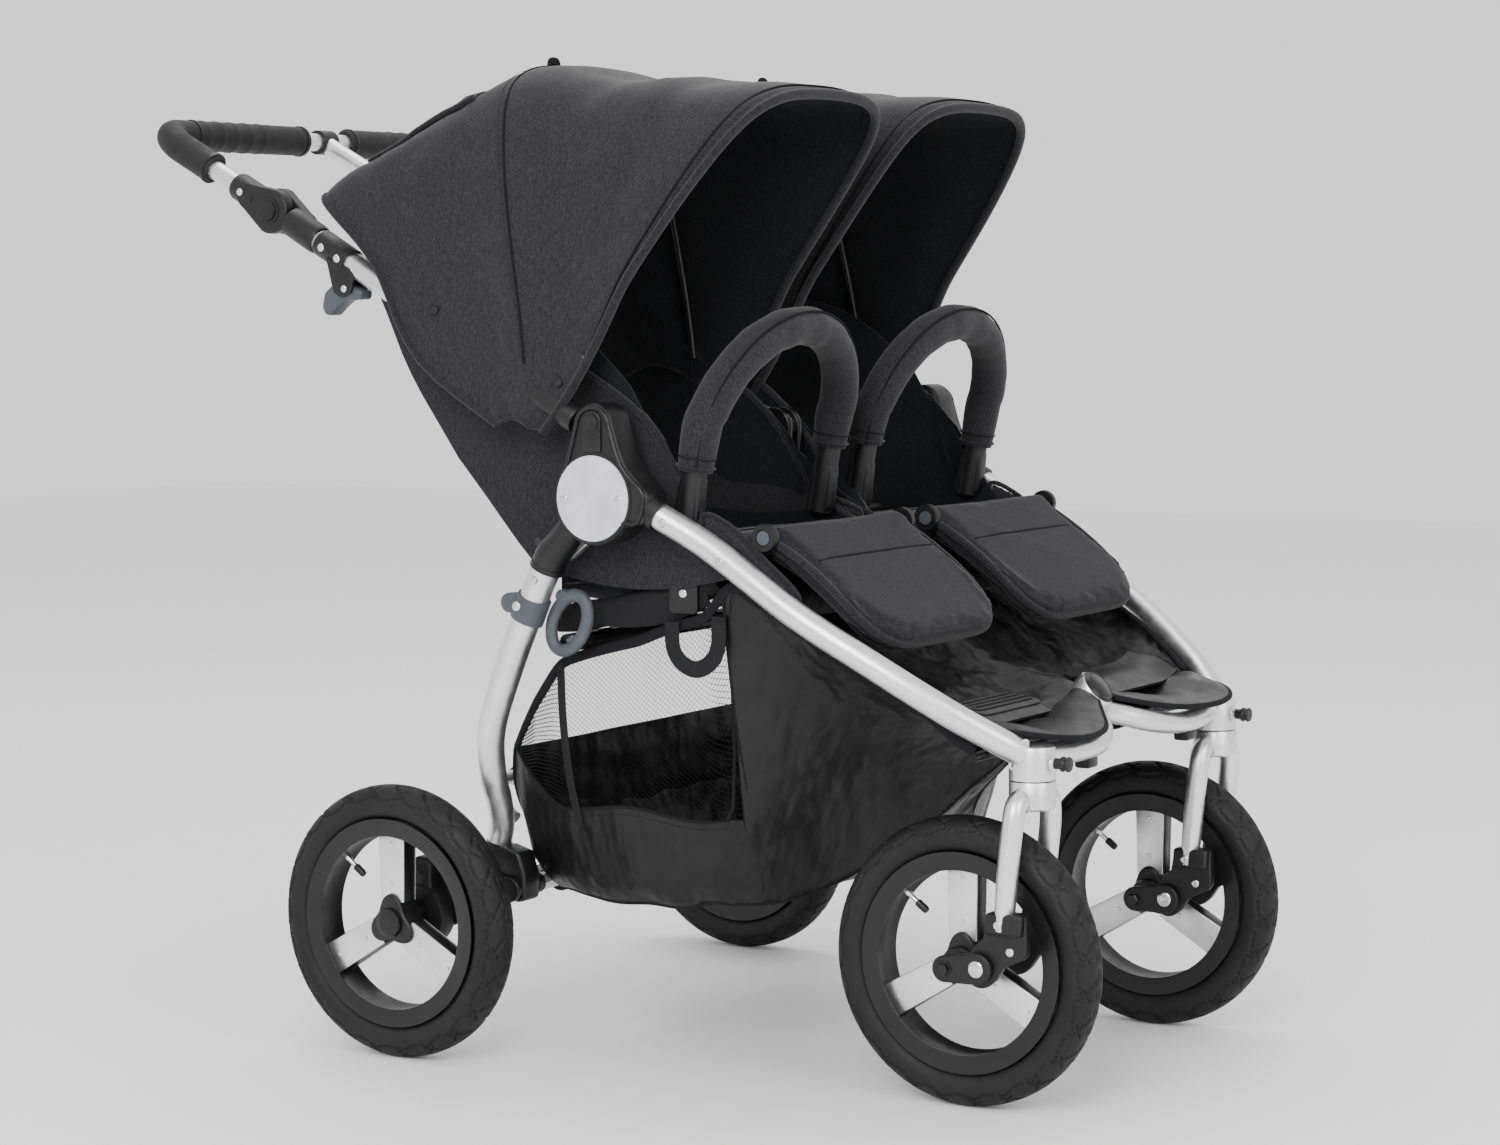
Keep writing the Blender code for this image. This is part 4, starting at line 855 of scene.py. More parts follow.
POST_LENGTH = (HANDLE - POST0).length
for side, s in SIDES:
    end = POST_LENGTH - 0.029
    post = sweep(f"post_{side}", [post_at(0.0415, s), post_at(0.25, s), post_at(end, s)],
        circle(0.0135, 36), SILVER, "upper_frame")
    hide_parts(f"handle_post_{side}")
    eye_end = post_at(0.053, s)
    sweep(f"post_sleeve_{side}", [post_at(0.0405, s), post_at(0.044, s), post_at(0.15, s),
        post_at(0.153, s)], circle(0.0152, 32), BLACK, "upper_frame",
        scale=lambda t: (0.93 if t in (0, 1) else 1.0,) * 2)
    plate(f"post_eye_{side}", eye_outline(POST_FOLD, (eye_end.y, eye_end.z), 0.017, 0.0095), s * 0.3152,
        s * 0.3264, BLACK, "upper_frame", 0.0015, 2)
    lathe(f"post_boss_{side}", (s * 0.316, eye_end.y, eye_end.z), (s, 0, 0),
        [(0.009, 0), (0.009, 0.026), (0, 0.026)], BLACK, "upper_frame", 24)
    sweep(f"post_collar_{side}", [post_at(POST_LENGTH - 0.078, s), post_at(POST_LENGTH - 0.074, s),
        post_at(end, s)], circle(0.0172, 32), BLACK, "upper_frame",
        scale=lambda t: (0.9 + 0.1 * min(1, t * 8),) * 2)
    neck = post_at(POST_LENGTH - 0.038, s)
    plate(f"pivot_disc_inner_{side}", eye_outline((HANDLE.y, HANDLE.z), (neck.y, neck.z), 0.026, 0.015),
        s * 0.2755, s * 0.2896, BLACK, "upper_frame", 0.0025, 3)
    bracket_at = POST_LENGTH - 0.135
    sweep(f"post_bracket_{side}", [post_at(bracket_at, s), post_at(bracket_at + 0.052, s)],
        circle(0.0158, 32), BLACK, "upper_frame")
    for number, along_post in enumerate((bracket_at + 0.012, bracket_at + 0.04)):
        rivet(f"post_screw_{side}_{number}", post_at(along_post, s) + Vector((s * 0.0156, 0, 0)), (s, 0, 0),
            STEEL, "upper_frame", 0.0046, 0.002)
    on_post = post_at(0.425, s)
    py, pz = on_post.y - 0.004, on_post.z - 0.031
    for cheek in (-1, 1):
        plate(f"lever_cheek_{side}_{'a' if cheek < 0 else 'b'}", [(on_post.y - 0.02, on_post.z - 0.01),
            (on_post.y + 0.022, on_post.z + 0.004), (py + 0.016, pz - 0.004), (py + 0.004, pz - 0.01),
            (py - 0.01, pz - 0.004)], on_post.x + cheek * 0.0118, on_post.x + cheek * 0.015, BLACK,
            "upper_frame", 0.0012, 2)
    lever_shape = [(py - 0.022, pz - 0.003), (py - 0.02, pz - 0.012), (py + 0.002, pz - 0.013),
        (py + 0.014, pz - 0.021), (py + 0.024, pz - 0.03), (py + 0.033, pz - 0.029),
        (py + 0.037, pz - 0.02), (py + 0.033, pz - 0.004), (py + 0.016, pz + 0.009),
        (py - 0.004, pz + 0.004)]
    lever = plate(f"fold_squeeze_{side}", lever_shape, on_post.x - 0.0105, on_post.x + 0.0105, GREY,
        f"lever_{side}", 0.0035, 4)
    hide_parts(f"fold_lever_{side}")
    rivet(f"lever_pin_{side}", (on_post.x + s * 0.015, py, pz), (s, 0, 0), STEEL, "upper_frame", 0.004,
        0.0016)

centre_start, centre_end = Vector((0, *POST_FOLD)), Vector((0, HANDLE.y, HANDLE.z))
centre_way = (centre_end - centre_start).normalized()
centre_length = (centre_end - centre_start).length
post = sweep("post_centre", [centre_start + centre_way * 0.034, centre_start
    + centre_way * (centre_length - 0.029)], circle(0.012, 32), SILVER, "upper_frame")
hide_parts("centre_post")
eye_end = centre_start + centre_way * 0.044
plate("post_eye_centre", eye_outline(POST_FOLD, (eye_end.y, eye_end.z), 0.0165, 0.009), -0.005, 0.005,
    SILVER, "upper_frame", 0.0012, 2)
neck = centre_start + centre_way * (centre_length - 0.038)
plate("pivot_disc_centre_inner", eye_outline((HANDLE.y, HANDLE.z), (neck.y, neck.z), 0.026, 0.012), -0.0137,
    -0.0007, BLACK, "upper_frame", 0.0025, 3)
sweep("post_collar_centre", [centre_start + centre_way * (centre_length - 0.072),
    centre_start + centre_way * (centre_length - 0.028)], circle(0.0145, 28), BLACK, "upper_frame")

pivot_c = Vector((0, HANDLE.y, HANDLE.z))
arm_neck = pivot_c + ARM * 0.038
bar_half = [HANDLE + ARM * 0.028, HANDLE + ARM * 0.1]
corner = Vector((HANDLE.x, BAR_Y, BAR_Z))
bend = 0.04
bar_half += [corner - ARM * bend]
for degrees in (15, 30, 45, 60, 75, 90):
    a = math.radians(degrees)
    bar_half.append(corner - ARM * bend * (1 - math.sin(a)) - Vector((bend * 0.7 * (1 - math.cos(a)), 0,
        0)))
bar_half += [Vector((0.235, BAR_Y, BAR_Z)), Vector((0.12, BAR_Y, BAR_Z))]
bar_line = [side_of(p, -1) for p in bar_half] + [Vector((0, BAR_Y, BAR_Z))] + [side_of(p, 1)
    for p in reversed(bar_half)]
bar = sweep("handle_tube", bar_line, circle(0.011, 28), SILVER, "handle")
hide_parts("handlebar")
sweep("handle_centre_arm", [pivot_c + ARM * 0.027, Vector((0, BAR_Y, BAR_Z))], circle(0.0108, 28), SILVER,
    "handle")
sweep("handle_centre_ring", [(-0.013, BAR_Y, BAR_Z), (-0.0125, BAR_Y, BAR_Z), (0.0125, BAR_Y, BAR_Z),
    (0.013, BAR_Y, BAR_Z)], circle(0.015, 32), BLACK, "handle")
plate("pivot_disc_centre_outer", eye_outline((HANDLE.y, HANDLE.z), (arm_neck.y, arm_neck.z), 0.026, 0.012),
    0.0007, 0.0137, BLACK, "handle", 0.0025, 3)
for side, s in SIDES:
    pivot = side_of(HANDLE, s)
    plate(f"pivot_disc_outer_{side}", eye_outline((HANDLE.y, HANDLE.z), (arm_neck.y, arm_neck.z), 0.026,
        0.015), s * 0.2904, s * 0.3053, BLACK, "handle", 0.0025, 3)
    lathe(f"pivot_well_{side}", (s * 0.305, HANDLE.y, HANDLE.z), (s, 0, 0),
        [(0.0122, 0), (0.015, 0), (0.015, 0.0012), (0.0122, 0.0016)], GLOSSY, "handle", 40)
    button = lathe(f"pivot_button_{side}", (s * 0.301, HANDLE.y, HANDLE.z), (s, 0, 0),
        [(0.011, 0), (0.0115, 0.006), (0.0105, 0.0078), (0.006, 0.0084), (0, 0.008)], GLOSSY,
        f"button_{side}", 36)
    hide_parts(f"height_button_{side}")
    sweep(f"arm_collar_{side}", [pivot + ARM * 0.029, pivot + ARM * 0.062, pivot + ARM * 0.066],
        circle(0.0162, 32), BLACK, "handle", scale=lambda t: (1.0 if t < 0.9 else 0.9,
        ) * 2)
    rivet(f"collar_screw_{side}", pivot + ARM * 0.048 + Vector((s * 0.016, 0, 0)), (s, 0, 0), STEEL,
        "handle", 0.0042, 0.0018)
    half = [side_of(p, s) for p in bar_half]
    sleeve = curve_through([half[1].lerp(half[2], 0.1)] + half[2:9]
        + [side_of((0.235, BAR_Y, BAR_Z), s), side_of((0.14, BAR_Y, BAR_Z), s),
        side_of((0.04, BAR_Y, BAR_Z), s)], 5)
    dense = resampled(sleeve, 150)

    def bumps(t):
        swell = 1 + 0.045 * max(0, math.sin(2 * math.pi * (t - 0.42) / 0.075)) * (0.42 < t < 0.8)
        ends = min(1, 0.86 + 9 * min(t, 1 - t))
        return (swell * ends, swell * ends)
    grip = sweep(f"grip_sleeve_{side}", dense, circle(0.0178, 28), FOAM, "handle", scale=bumps)
    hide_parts(f"grip_{side}")
    for number, t in enumerate((0.02, 0.4, 0.985)):
        at = int(t * 149)
        span = dense[max(0, at - 1):at + 2]
        sweep(f"grip_band_{side}_{number}", span, circle(0.0188, 28), BLACK, "handle")

# wrist-strap ring under the right grip
ring_c = Vector((-0.262, 0.56, 1.02))
d_ring = [ring_c + Vector((0.018 * math.cos(a), 0.0, 0.007 * math.sin(a) - 0.01))
    for a in [2 * math.pi * k / 30 for k in range(30)]]
sweep("strap_ring", d_ring, circle(0.0016, 8), STEEL, "handle", closed=True)
strap_along("strap_ring_tab", [(-0.262, 0.566, 1.026), (-0.262, 0.562, 1.004)], 0.016, 0.003, "handle",
    None)


# ---------------------------------------------------------------- soft helpers
def rounded_box(low, high, radii, count=8):
    """Outline of a rectangle with its own radius at each corner, from the low corner round."""
    (a, b), (c, d) = low, high
    centres = ((a + radii[0], b + radii[0], 180), (c - radii[1], b + radii[1], 270),
        (c - radii[2], d - radii[2], 0), (a + radii[3], d - radii[3], 90))
    points = []
    for (u, v, start), radius in zip(centres, radii):
        points += arc((u, v), max(radius, 0.0005), start, start + 90, count)
    return points


def slab(name, outline, place, low, high):
    """A closed solid from an outline, mapped into space by place(u, v, w) with w from low to high."""
    count = len(outline)
    verts = [place(u, v, low) for u, v in outline] + [place(u, v, high) for u, v in outline]
    faces = [tuple(range(count)), tuple(reversed(range(count, 2 * count)))]
    faces += [(k, k + count, (k + 1) % count + count, (k + 1) % count) for k in range(count)]
    mesh = bpy.data.meshes.new(name)
    mesh.from_pydata([tuple(v) for v in verts], [], faces)
    obj = bpy.data.objects.new(name, mesh)
    bpy.context.scene.collection.objects.link(obj)
    return obj


def points_of(obj):
    co = np.empty(len(obj.data.vertices) * 3)
    obj.data.vertices.foreach_get("co", co)
    return co.reshape(-1, 3)


def puffed(obj, mat, body, lift, voxel=0.006):
    """Turns a solid into a stuffed pad: a short cloth run with air inside, then a smooth surface."""
    remesh = obj.modifiers.new("even", "REMESH")
    remesh.mode = "VOXEL"
    remesh.voxel_size = voxel
    applied(obj)
    obj.data.materials.append(mat)
    start = points_of(obj)
    cloth = obj.modifiers.new("air", "CLOTH")
    cloth.settings.quality = 5
    cloth.settings.mass = 0.2
    cloth.settings.tension_stiffness = 9
    cloth.settings.compression_stiffness = 9
    cloth.settings.bending_stiffness = 0.6
    cloth.settings.use_pressure = True
    cloth.settings.uniform_pressure_force = 4
    cloth.settings.effector_weights.gravity = 0
    scene = bpy.context.scene
    scene.frame_start, scene.frame_end = 1, 18
    for number in range(1, 19):
        scene.frame_set(number)
    applied(obj)
    scene.frame_set(1)
    moved = points_of(obj) - start
    size = np.linalg.norm(moved, axis=1, keepdims=True)
    moved *= np.minimum(1.0, lift / np.maximum(size, 1e-9))
    obj.data.vertices.foreach_set("co", (start + moved).ravel())
    obj.data.update()
    smooth = obj.modifiers.new("smooth", "SUBSURF")
    smooth.levels = smooth.render_levels = 1
    applied(obj)
    finish_mesh(obj, mat, body, 80)
    return obj


def onto(obj, points, direction, lift=0.0006):
    """Points moved onto a surface along a direction, starting a little way off it."""
    way = Vector(direction).normalized()
    reach = 0.05
    placed = []
    inverse = obj.matrix_world.inverted()
    turn = inverse.to_3x3()
    for p in points:
        hit, where, _, _ = obj.ray_cast(inverse @ (Vector(p) - way * reach), turn @ way, distance=2 * reach)
        if hit:
            placed.append(obj.matrix_world @ where - way * lift)
    return placed if len(placed) > 2 else [Vector(p) for p in points]


def inward(obj, points, centre, lift=0.0012):
    """Points brought onto a surface from outside, towards a centre that depends on the point."""
    placed = []
    inverse = obj.matrix_world.inverted()
    turn = inverse.to_3x3()
    for p in points:
        p = Vector(p)
        way = (centre(p) - p).normalized()
        hit, where, _, _ = obj.ray_cast(inverse @ (p - way * 0.03), turn @ way, distance=0.09)
        placed.append(obj.matrix_world @ where - way * lift if hit else p)
    return placed


def smoothed(points, rounds=2, closed=False):
    pts = [Vector(p) for p in points]
    for _ in range(rounds):
        fresh = []
        for k, p in enumerate(pts):
            if not closed and k in (0, len(pts) - 1):
                fresh.append(p)
            else:
                fresh.append((pts[k - 1] + p * 2 + pts[(k + 1) % len(pts)]) / 4)
        pts = fresh
    return pts


def cloth_sheet(obj):
    return obj


def ripple(point, size, amount, seed=0.0):
    """Smooth random height at a point, for creases."""
    return amount * noise.noise(Vector((point[0] / size + seed, point[1] / size, point[2] / size)))


# ---------------------------------------------------------------- seats
# distance of a seat's frame and of its cushion from the middle, and half the bumper bar's span
CENTRE = 0.1725
SEAT_MID = 0.1625
BUMPER_HALF = 0.1325
# pivots of the backrest and of the calf flap
RECLINE = Vector((0, 0.03, 0.578))
CALF = Vector((0, -0.262, 0.592))


def heading(degrees):
    return Vector((0, math.cos(math.radians(degrees)), math.sin(math.radians(degrees))))


# (share of the way back, height) of the seat side's upper edge
SIDE_TOP = ((0.0, 0.636), (0.04, 0.686), (0.1, 0.718), (0.2, 0.746), (0.32, 0.775), (0.5, 0.81),
    (0.75, 0.855), (1.0, 0.872))
# (share of the reach, angle) of the hood's back edge
REAR_EDGE = ((0.0, 6.0), (0.35, 17.0), (0.45, 22.0), (0.55, 29.0), (0.64, 36.5), (0.77, 38.5), (1.0, 38.5))


def stepped(table, value):
    """Straight-line value of a two-column table."""
    for (a, low), (b, high) in zip(table, table[1:]):
        if value <= b:
            return low + (high - low) * max(0.0, (value - a) / (b - a))
    return table[-1][1]


BASE_OUTLINE = [(-0.244, 0.56), (-0.246, 0.58), (-0.225, 0.59), (-0.1, 0.578), (0.014, 0.564),
    (0.016, 0.524), (-0.05, 0.518), (-0.16, 0.532)]


def beside_seat(obj):
    """Cloth beside the seat: bakes its placement into its mesh."""
    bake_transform(obj)


for side, s in SIDES:
    low, high = sorted((s * 0.026, s * 0.301))
    base = puffed(slab(f"seat_cushion_{side}", BASE_OUTLINE, lambda u, v, w: Vector((w, u, v)), low, high),
        LINING, "chassis", 0.006, 0.007)
    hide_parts(f"seat_base_{side}")
    for number, y in enumerate((-0.19, -0.06)):
        seam = onto(base, [(s * (0.04 + 0.0256 * k), y, 0.6) for k in range(11)], (0, 0, -1))
        sweep(f"seat_channel_{side}_{number}", smoothed(seam), circle(0.0011, 8), THREAD, "chassis")
        stitches(f"seat_stitch_{side}_{number}", [p + Vector((0, 0.004, 0.0003)) for p in seam], HEM,
            "chassis")
    hem = [Vector((s * (0.03 + 0.0272 * k), -0.2475, 0.576 + 0.002 * math.sin(k))) for k in range(11)]
    piped(f"seat_front_piping_{side}", curve_through(hem, 3), 0.0026, "chassis")

    back_way, back_out = heading(52), heading(142)

    def on_back(u, v, w):
        return Vector((s * u, RECLINE.y, RECLINE.z)) + back_way * v + back_out * w
    outline = rounded_box((0.047, 0.014), (0.278, 0.398), (0.01, 0.01, 0.06, 0.06))
    back = puffed(slab(f"backrest_{side}", outline, on_back, -0.029, -0.005), LINING, f"back_{side}",
        0.005, 0.006)
    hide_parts(f"seat_back_{side}")
    for number, v in enumerate((0.13, 0.26)):
        seam = onto(back, [on_back(0.062 + 0.0201 * k, v, 0.004) for k in range(11)], -back_out)
        sweep(f"back_channel_{side}_{number}", smoothed(seam), circle(0.0011, 8), THREAD, f"back_{side}")
    edge = [on_back(u, v, -0.017) for u, v in rounded_box((0.044, 0.012), (0.281, 0.401),
        (0.012, 0.012, 0.062, 0.062), 10)]
    edge = inward(back, edge, lambda p: Vector((s * SEAT_MID, 0, 0))
        + Vector((0, *(on_back(0, 0.2, -0.017).yz))))
    piped(f"back_piping_{side}", smoothed(edge, 2, True), 0.0024, f"back_{side}", True)
    for hand in (-1, 1):
        tag = f"{side}_{'in' if hand < 0 else 'out'}"
        strap = onto(back, [on_back(SEAT_MID + hand * (0.05 - 0.02 * k / 12), 0.34 - 0.023 * k, 0.006)
            for k in range(13)], -back_out, lift=0.0028)
        strap_along(f"shoulder_strap_{tag}", smoothed(strap), 0.024, 0.002, f"back_{side}", back_out)
        pad = strap[1:8]
        sweep(f"shoulder_pad_{tag}", [p + back_out * 0.004 for p in smoothed(pad)], oval(0.023, 0.0048, 20),
            MELANGE, f"back_{side}", normal=back_out, scale=lambda t: (1.0 if 0.05 < t < 0.95 else 0.86,
            1.0))
        lap = onto(base, [(s * (SEAT_MID + hand * (0.11 - 0.0085 * k)), -0.015 - 0.0065 * k, 0.6)
            for k in range(12)], (0, 0, -1), lift=0.003)
        strap_along(f"lap_strap_{tag}", smoothed(lap), 0.024, 0.002, "chassis")
    plate(f"buckle_{side}", rounded_box((-0.112, 0.586), (-0.068, 0.596), (0.004,) * 4, 4),
        s * SEAT_MID - 0.02, s * SEAT_MID + 0.02, BLACK, "chassis", 0.002, 3)
    lathe(f"buckle_button_{side}", (s * SEAT_MID, -0.09, 0.5955), UP,
        [(0.01, 0), (0.01, 0.0015), (0.0085, 0.0022), (0, 0.002)], GREY, "chassis", 28)

    # wing in front of the hub, bound all round
    wing_shape = [(-0.188, 0.614), (-0.226, 0.6), (-0.262, 0.57), (-0.302, 0.536), (-0.298, 0.522),
        (-0.252, 0.545), (-0.198, 0.574)]
    puffed(slab(f"seat_wing_{side}", wing_shape, lambda u, v, w: Vector((w, u, v)),
        *sorted((s * 0.3095, s * 0.3165))), MELANGE, "chassis", 0.003, 0.004)
    edge = curve_through([Vector((s * 0.313, y, z)) for y, z in wing_shape], 5, True)
    piped(f"wing_piping_{side}", edge, 0.0027, "chassis", True)
    inner = [Vector((s * 0.3168, y * 0.94 - 0.015, z * 0.94 + 0.0345)) for y, z in wing_shape]
    stitches(f"wing_stitch_{side}", curve_through(inner, 3, True), HEM, "chassis")

    # side of the seat between the hub and the backrest
    rows = []
    for k in range(21):
        t = k / 20
        low_edge = Vector((s * 0.3128, -0.236 + 0.268 * t, 0.552 - 0.02 * math.sin(math.pi * t)))
        high_edge = Vector((s * 0.308, -0.165 + 0.425 * t ** 0.9, stepped(SIDE_TOP, t)))
        row = []
        for q in range(15):
            p = low_edge.lerp(high_edge, q / 14)
            p.x -= s * (0.01 * math.sin(math.pi * q / 14) * t + ripple(p, 0.05, 0.004, s))
            p.y += 0.032 * math.sin(math.pi * q / 14) * t * t
            row.append(p)
        rows.append(row)
    shown = rows if s < 0 else [list(reversed(row)) for row in rows]
    panel = grid(f"seat_side_{side}", shown, MELANGE, None, "seat_fabric", 0.0028, LINING)
    cloth_sheet(panel)
    beside_seat(panel)
    top_binding = piped(f"seat_side_binding_{side}", smoothed([row[-1] for row in rows]), 0.0034, None)
    beside_seat(top_binding)

    shade_rows = []
    for k in range(13):
        t = k / 12
        foot = Vector((s * 0.303, -0.15 + 0.25 * t, stepped(SIDE_TOP, 0.62 * t) - 0.03))
        peak = Vector((s * 0.302, -0.128 + 0.24 * t, stepped(SIDE_TOP, 0.62 * t)
            + 0.04 * math.sin(math.pi * (0.12 + 0.8 * t))))
        shade_rows.append([foot.lerp(peak, q / 8) for q in range(9)])
    shade = grid(f"seat_shade_{side}", shade_rows, LINING, None, "seat_fabric", 0.0016)
    cloth_sheet(shade)
    beside_seat(shade)

    inner_rows = []
    for k in range(17):
        t = k / 16
        low_edge = Vector((s * 0.0235, -0.23 + 0.26 * t, 0.572 - 0.022 * t))
        high_edge = Vector((s * 0.024, -0.14 + 0.36 * t ** 0.9, stepped(SIDE_TOP, t) - 0.012))
        inner_rows.append([low_edge.lerp(high_edge, q / 12) + Vector((s * ripple(low_edge.lerp(high_edge,
            q / 12), 0.05, 0.003, 8), 0, 0)) for q in range(13)])
    wing_panel = grid(f"inner_wing_{side}", inner_rows, LINING, None, "seat_fabric", 0.0024)
    cloth_sheet(wing_panel)
    beside_seat(wing_panel)
    rim_path = [row[-1] for row in inner_rows]
    start_path = [inner_rows[0][q] for q in range(13)]
    piping = piped(f"inner_wing_piping_{side}", smoothed(start_path + rim_path[1:]), 0.0036, None)
    beside_seat(piping)
    apron_rows = []
    for k in range(13):
        t = k / 12
        apron_rows.append([Vector((s * x, -0.2475 - 0.012 * t - 0.006 * math.sin(math.pi * t),
            0.566 - (0.034 + 0.03 * math.sin(math.pi * (x - 0.02) / 0.3)) * t))
            for x in [0.022 + 0.0145 * q for q in range(21)]])
    apron = grid(f"seat_apron_{side}", apron_rows, NYLON, "chassis", "ripstop_fabric", 0.0016)
    cloth_sheet(apron)

    # calf flap
    flap_out = heading(128)
    flap_body = f"flap_{side}"

    def on_flap(u, v, w):
        turn, bend = math.radians(206), 2.745
        here = turn + bend * v
        foot = Vector((s * u, CALF.y + (math.sin(here) - math.sin(turn)) / bend,
            CALF.z + (math.cos(turn) - math.cos(here)) / bend))
        dome = 0.005 * (1 - ((u - 0.1685) / 0.139) ** 2) if w > 0 else 0.0
        return foot + heading(math.degrees(here) - 90) * (w + dome)
    outline = rounded_box((0.03, -0.016), (0.307, 0.178), (0.006, 0.006, 0.062, 0.062), 10)
    # the pad's cloth is the darker copy of the melange, painted shade rather than a different cloth
    flap = puffed(slab(f"calf_pad_{side}", outline, on_flap, -0.0095, 0.01), FLAP_CLOTH_PAINTED_SHADE, flap_body,
        0.0055, 0.005)
    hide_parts(f"calf_flap_{side}")
    u_edge = [(0.03, -0.008 + 0.018 * k) for k in range(7)] + arc((0.092, 0.116), 0.062, 180, 90, 11)
    u_edge += [(0.11 + 0.017 * k, 0.178) for k in range(8)] + arc((0.245, 0.116), 0.062, 90, 0, 11)
    u_edge += [(0.307, 0.1 - 0.018 * k) for k in range(7)]
    mid = on_flap(0.17, 0.085, 0.0)
    brim = inward(flap, [on_flap(u, v, 0.0) for u, v in u_edge], lambda p, mid=mid: mid, 0.0016)
    sweep(f"flap_piping_{side}", smoothed(brim, 3), circle(0.0044, 12), HEM, flap_body)
    under = smoothed(brim, 3)
    gusset_rows = [[(p + (mid - p) * (0.04 + 0.1 * r / 4)) - flap_out * (0.003 + 0.017 * r / 4)
        for p in under] for r in range(5)]
    gusset = grid(f"flap_gusset_{side}", gusset_rows, LINING, flap_body, "seat_fabric", 0.0016)
    cloth_sheet(gusset)
    piped(f"flap_gusset_piping_{side}", gusset_rows[-1], 0.003, flap_body)
    crease = onto(flap, [on_flap(0.05 + 0.0238 * k, 0.055 + 0.002 * math.sin(2 * k), 0.02)
        for k in range(11)], -flap_out, lift=-0.0004)
    sweep(f"flap_crease_{side}", smoothed(crease), circle(0.0015, 8), THREAD, flap_body)
    row_line = onto(flap, [on_flap(0.085 + 0.0167 * k, 0.164, 0.02) for k in range(11)], -flap_out)
    stitches(f"flap_stitch_{side}", row_line, HEM, flap_body)
    for edge_x in (0.026, 0.312):
        lathe(f"flap_disc_{side}_{'in' if edge_x < 0.1 else 'out'}", (s * edge_x, CALF.y, CALF.z),
            (s if edge_x > 0.1 else -s, 0, 0), [(0.015, -0.006), (0.0155, 0.0), (0.014, 0.0028),
            (0.0088, 0.003), (0.008, 0.0014), (0, 0.0016)], BLACK, "chassis", 32)
        lathe(f"flap_disc_cap_{side}_{'in' if edge_x < 0.1 else 'out'}", (s * edge_x, CALF.y, CALF.z),
            (s if edge_x > 0.1 else -s, 0, 0), [(0.0078, 0.0014), (0.0076, 0.0028), (0, 0.003)], GREY,
            "chassis", 28)

    # bumper bar pad
    bumper_body = f"bumper_{side}"
    spine_line = [(CENTRE + BUMPER_HALF, -0.162, 0.601)]
    for degrees in range(0, 181, 12):
        a = math.radians(degrees)
        spine_line.append((CENTRE + BUMPER_HALF * math.cos(a), -0.18 - 0.041 * math.sin(a),
            0.7 + 0.1095 * math.sin(a)))
    spine_line.append((CENTRE - BUMPER_HALF, -0.162, 0.601))
    line = curve_through([side_of(p, s) for p in spine_line], 5)
    total = resampled(line, 121)

    def fat(t):
        lump = 1 + 0.035 * noise.noise(Vector((t * 22, 3.1, 0))) + 0.02 * math.sin(60 * t) * (0.3 < t < 0.7)
        return (lump, lump * 0.98)
    pad = sweep(f"bumper_pad_{side}", total[12:106], circle(0.0212, 36), MELANGE, bumper_body,
        scale=lambda t: tuple(f * (0.88 + 0.12 * min(1, 14 * min(t, 1 - t)))
        for f in fat(t)))
    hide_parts(f"bumper_bar_{side}")
    out_up = [total[k] + Vector((0, -0.0125, 0.0)) + (total[k] - Vector((s * CENTRE, -0.19,
        0.7))).normalized() * 0.016 for k in range(13, 106)]
    sweep(f"bumper_seam_{side}", smoothed(out_up), circle(0.0013, 8), THREAD, bumper_body)
    for tag, at, step in (("out", 13, 1), ("in", 104, -1)):
        for lane in (0, 2):
            ring = []
            way = (total[at + 1] - total[at - 1]).normalized()
            first = way.cross(Vector((0, 1, 0))).normalized()
            second = way.cross(first)
            centre_point = total[at + step * lane]
            for k in range(30):
                a = 2 * math.pi * k / 30
                ring.append(centre_point + (first * math.cos(a) + second * math.sin(a)) * (0.0204
                    if lane == 0 else 0.0213))
            sweep(f"bumper_hem_{side}_{tag}_{lane}", ring, circle(0.0012 if lane == 0 else 0.0006, 8),
                HEM if lane == 0 else THREAD, bumper_body, closed=True)
    sweep(f"bumper_core_{side}_out", total[:16], circle(0.0135, 24), BLACK, bumper_body)
    sweep(f"bumper_core_{side}_in", total[102:], circle(0.0135, 24), BLACK, bumper_body)
    for tag, x in (("out", CENTRE + BUMPER_HALF), ("in", CENTRE - BUMPER_HALF)):
        outside = 1 if tag == "out" else -1
        plate(f"bumper_foot_{side}_{tag}", eye_outline((-0.163, 0.612), (-0.17, 0.648), 0.0165, 0.0135),
            s * x - 0.009, s * x + 0.009, BLACK, bumper_body, 0.0035, 3)
        for number, height in enumerate((0.612, 0.644)):
            rivet(f"bumper_screw_{side}_{tag}_{number}", (s * (x + outside * 0.009),
                -0.1645 - 0.12 * (height - 0.612), height), (s * outside, 0, 0), STEEL, bumper_body, 0.0036,
                0.0015)

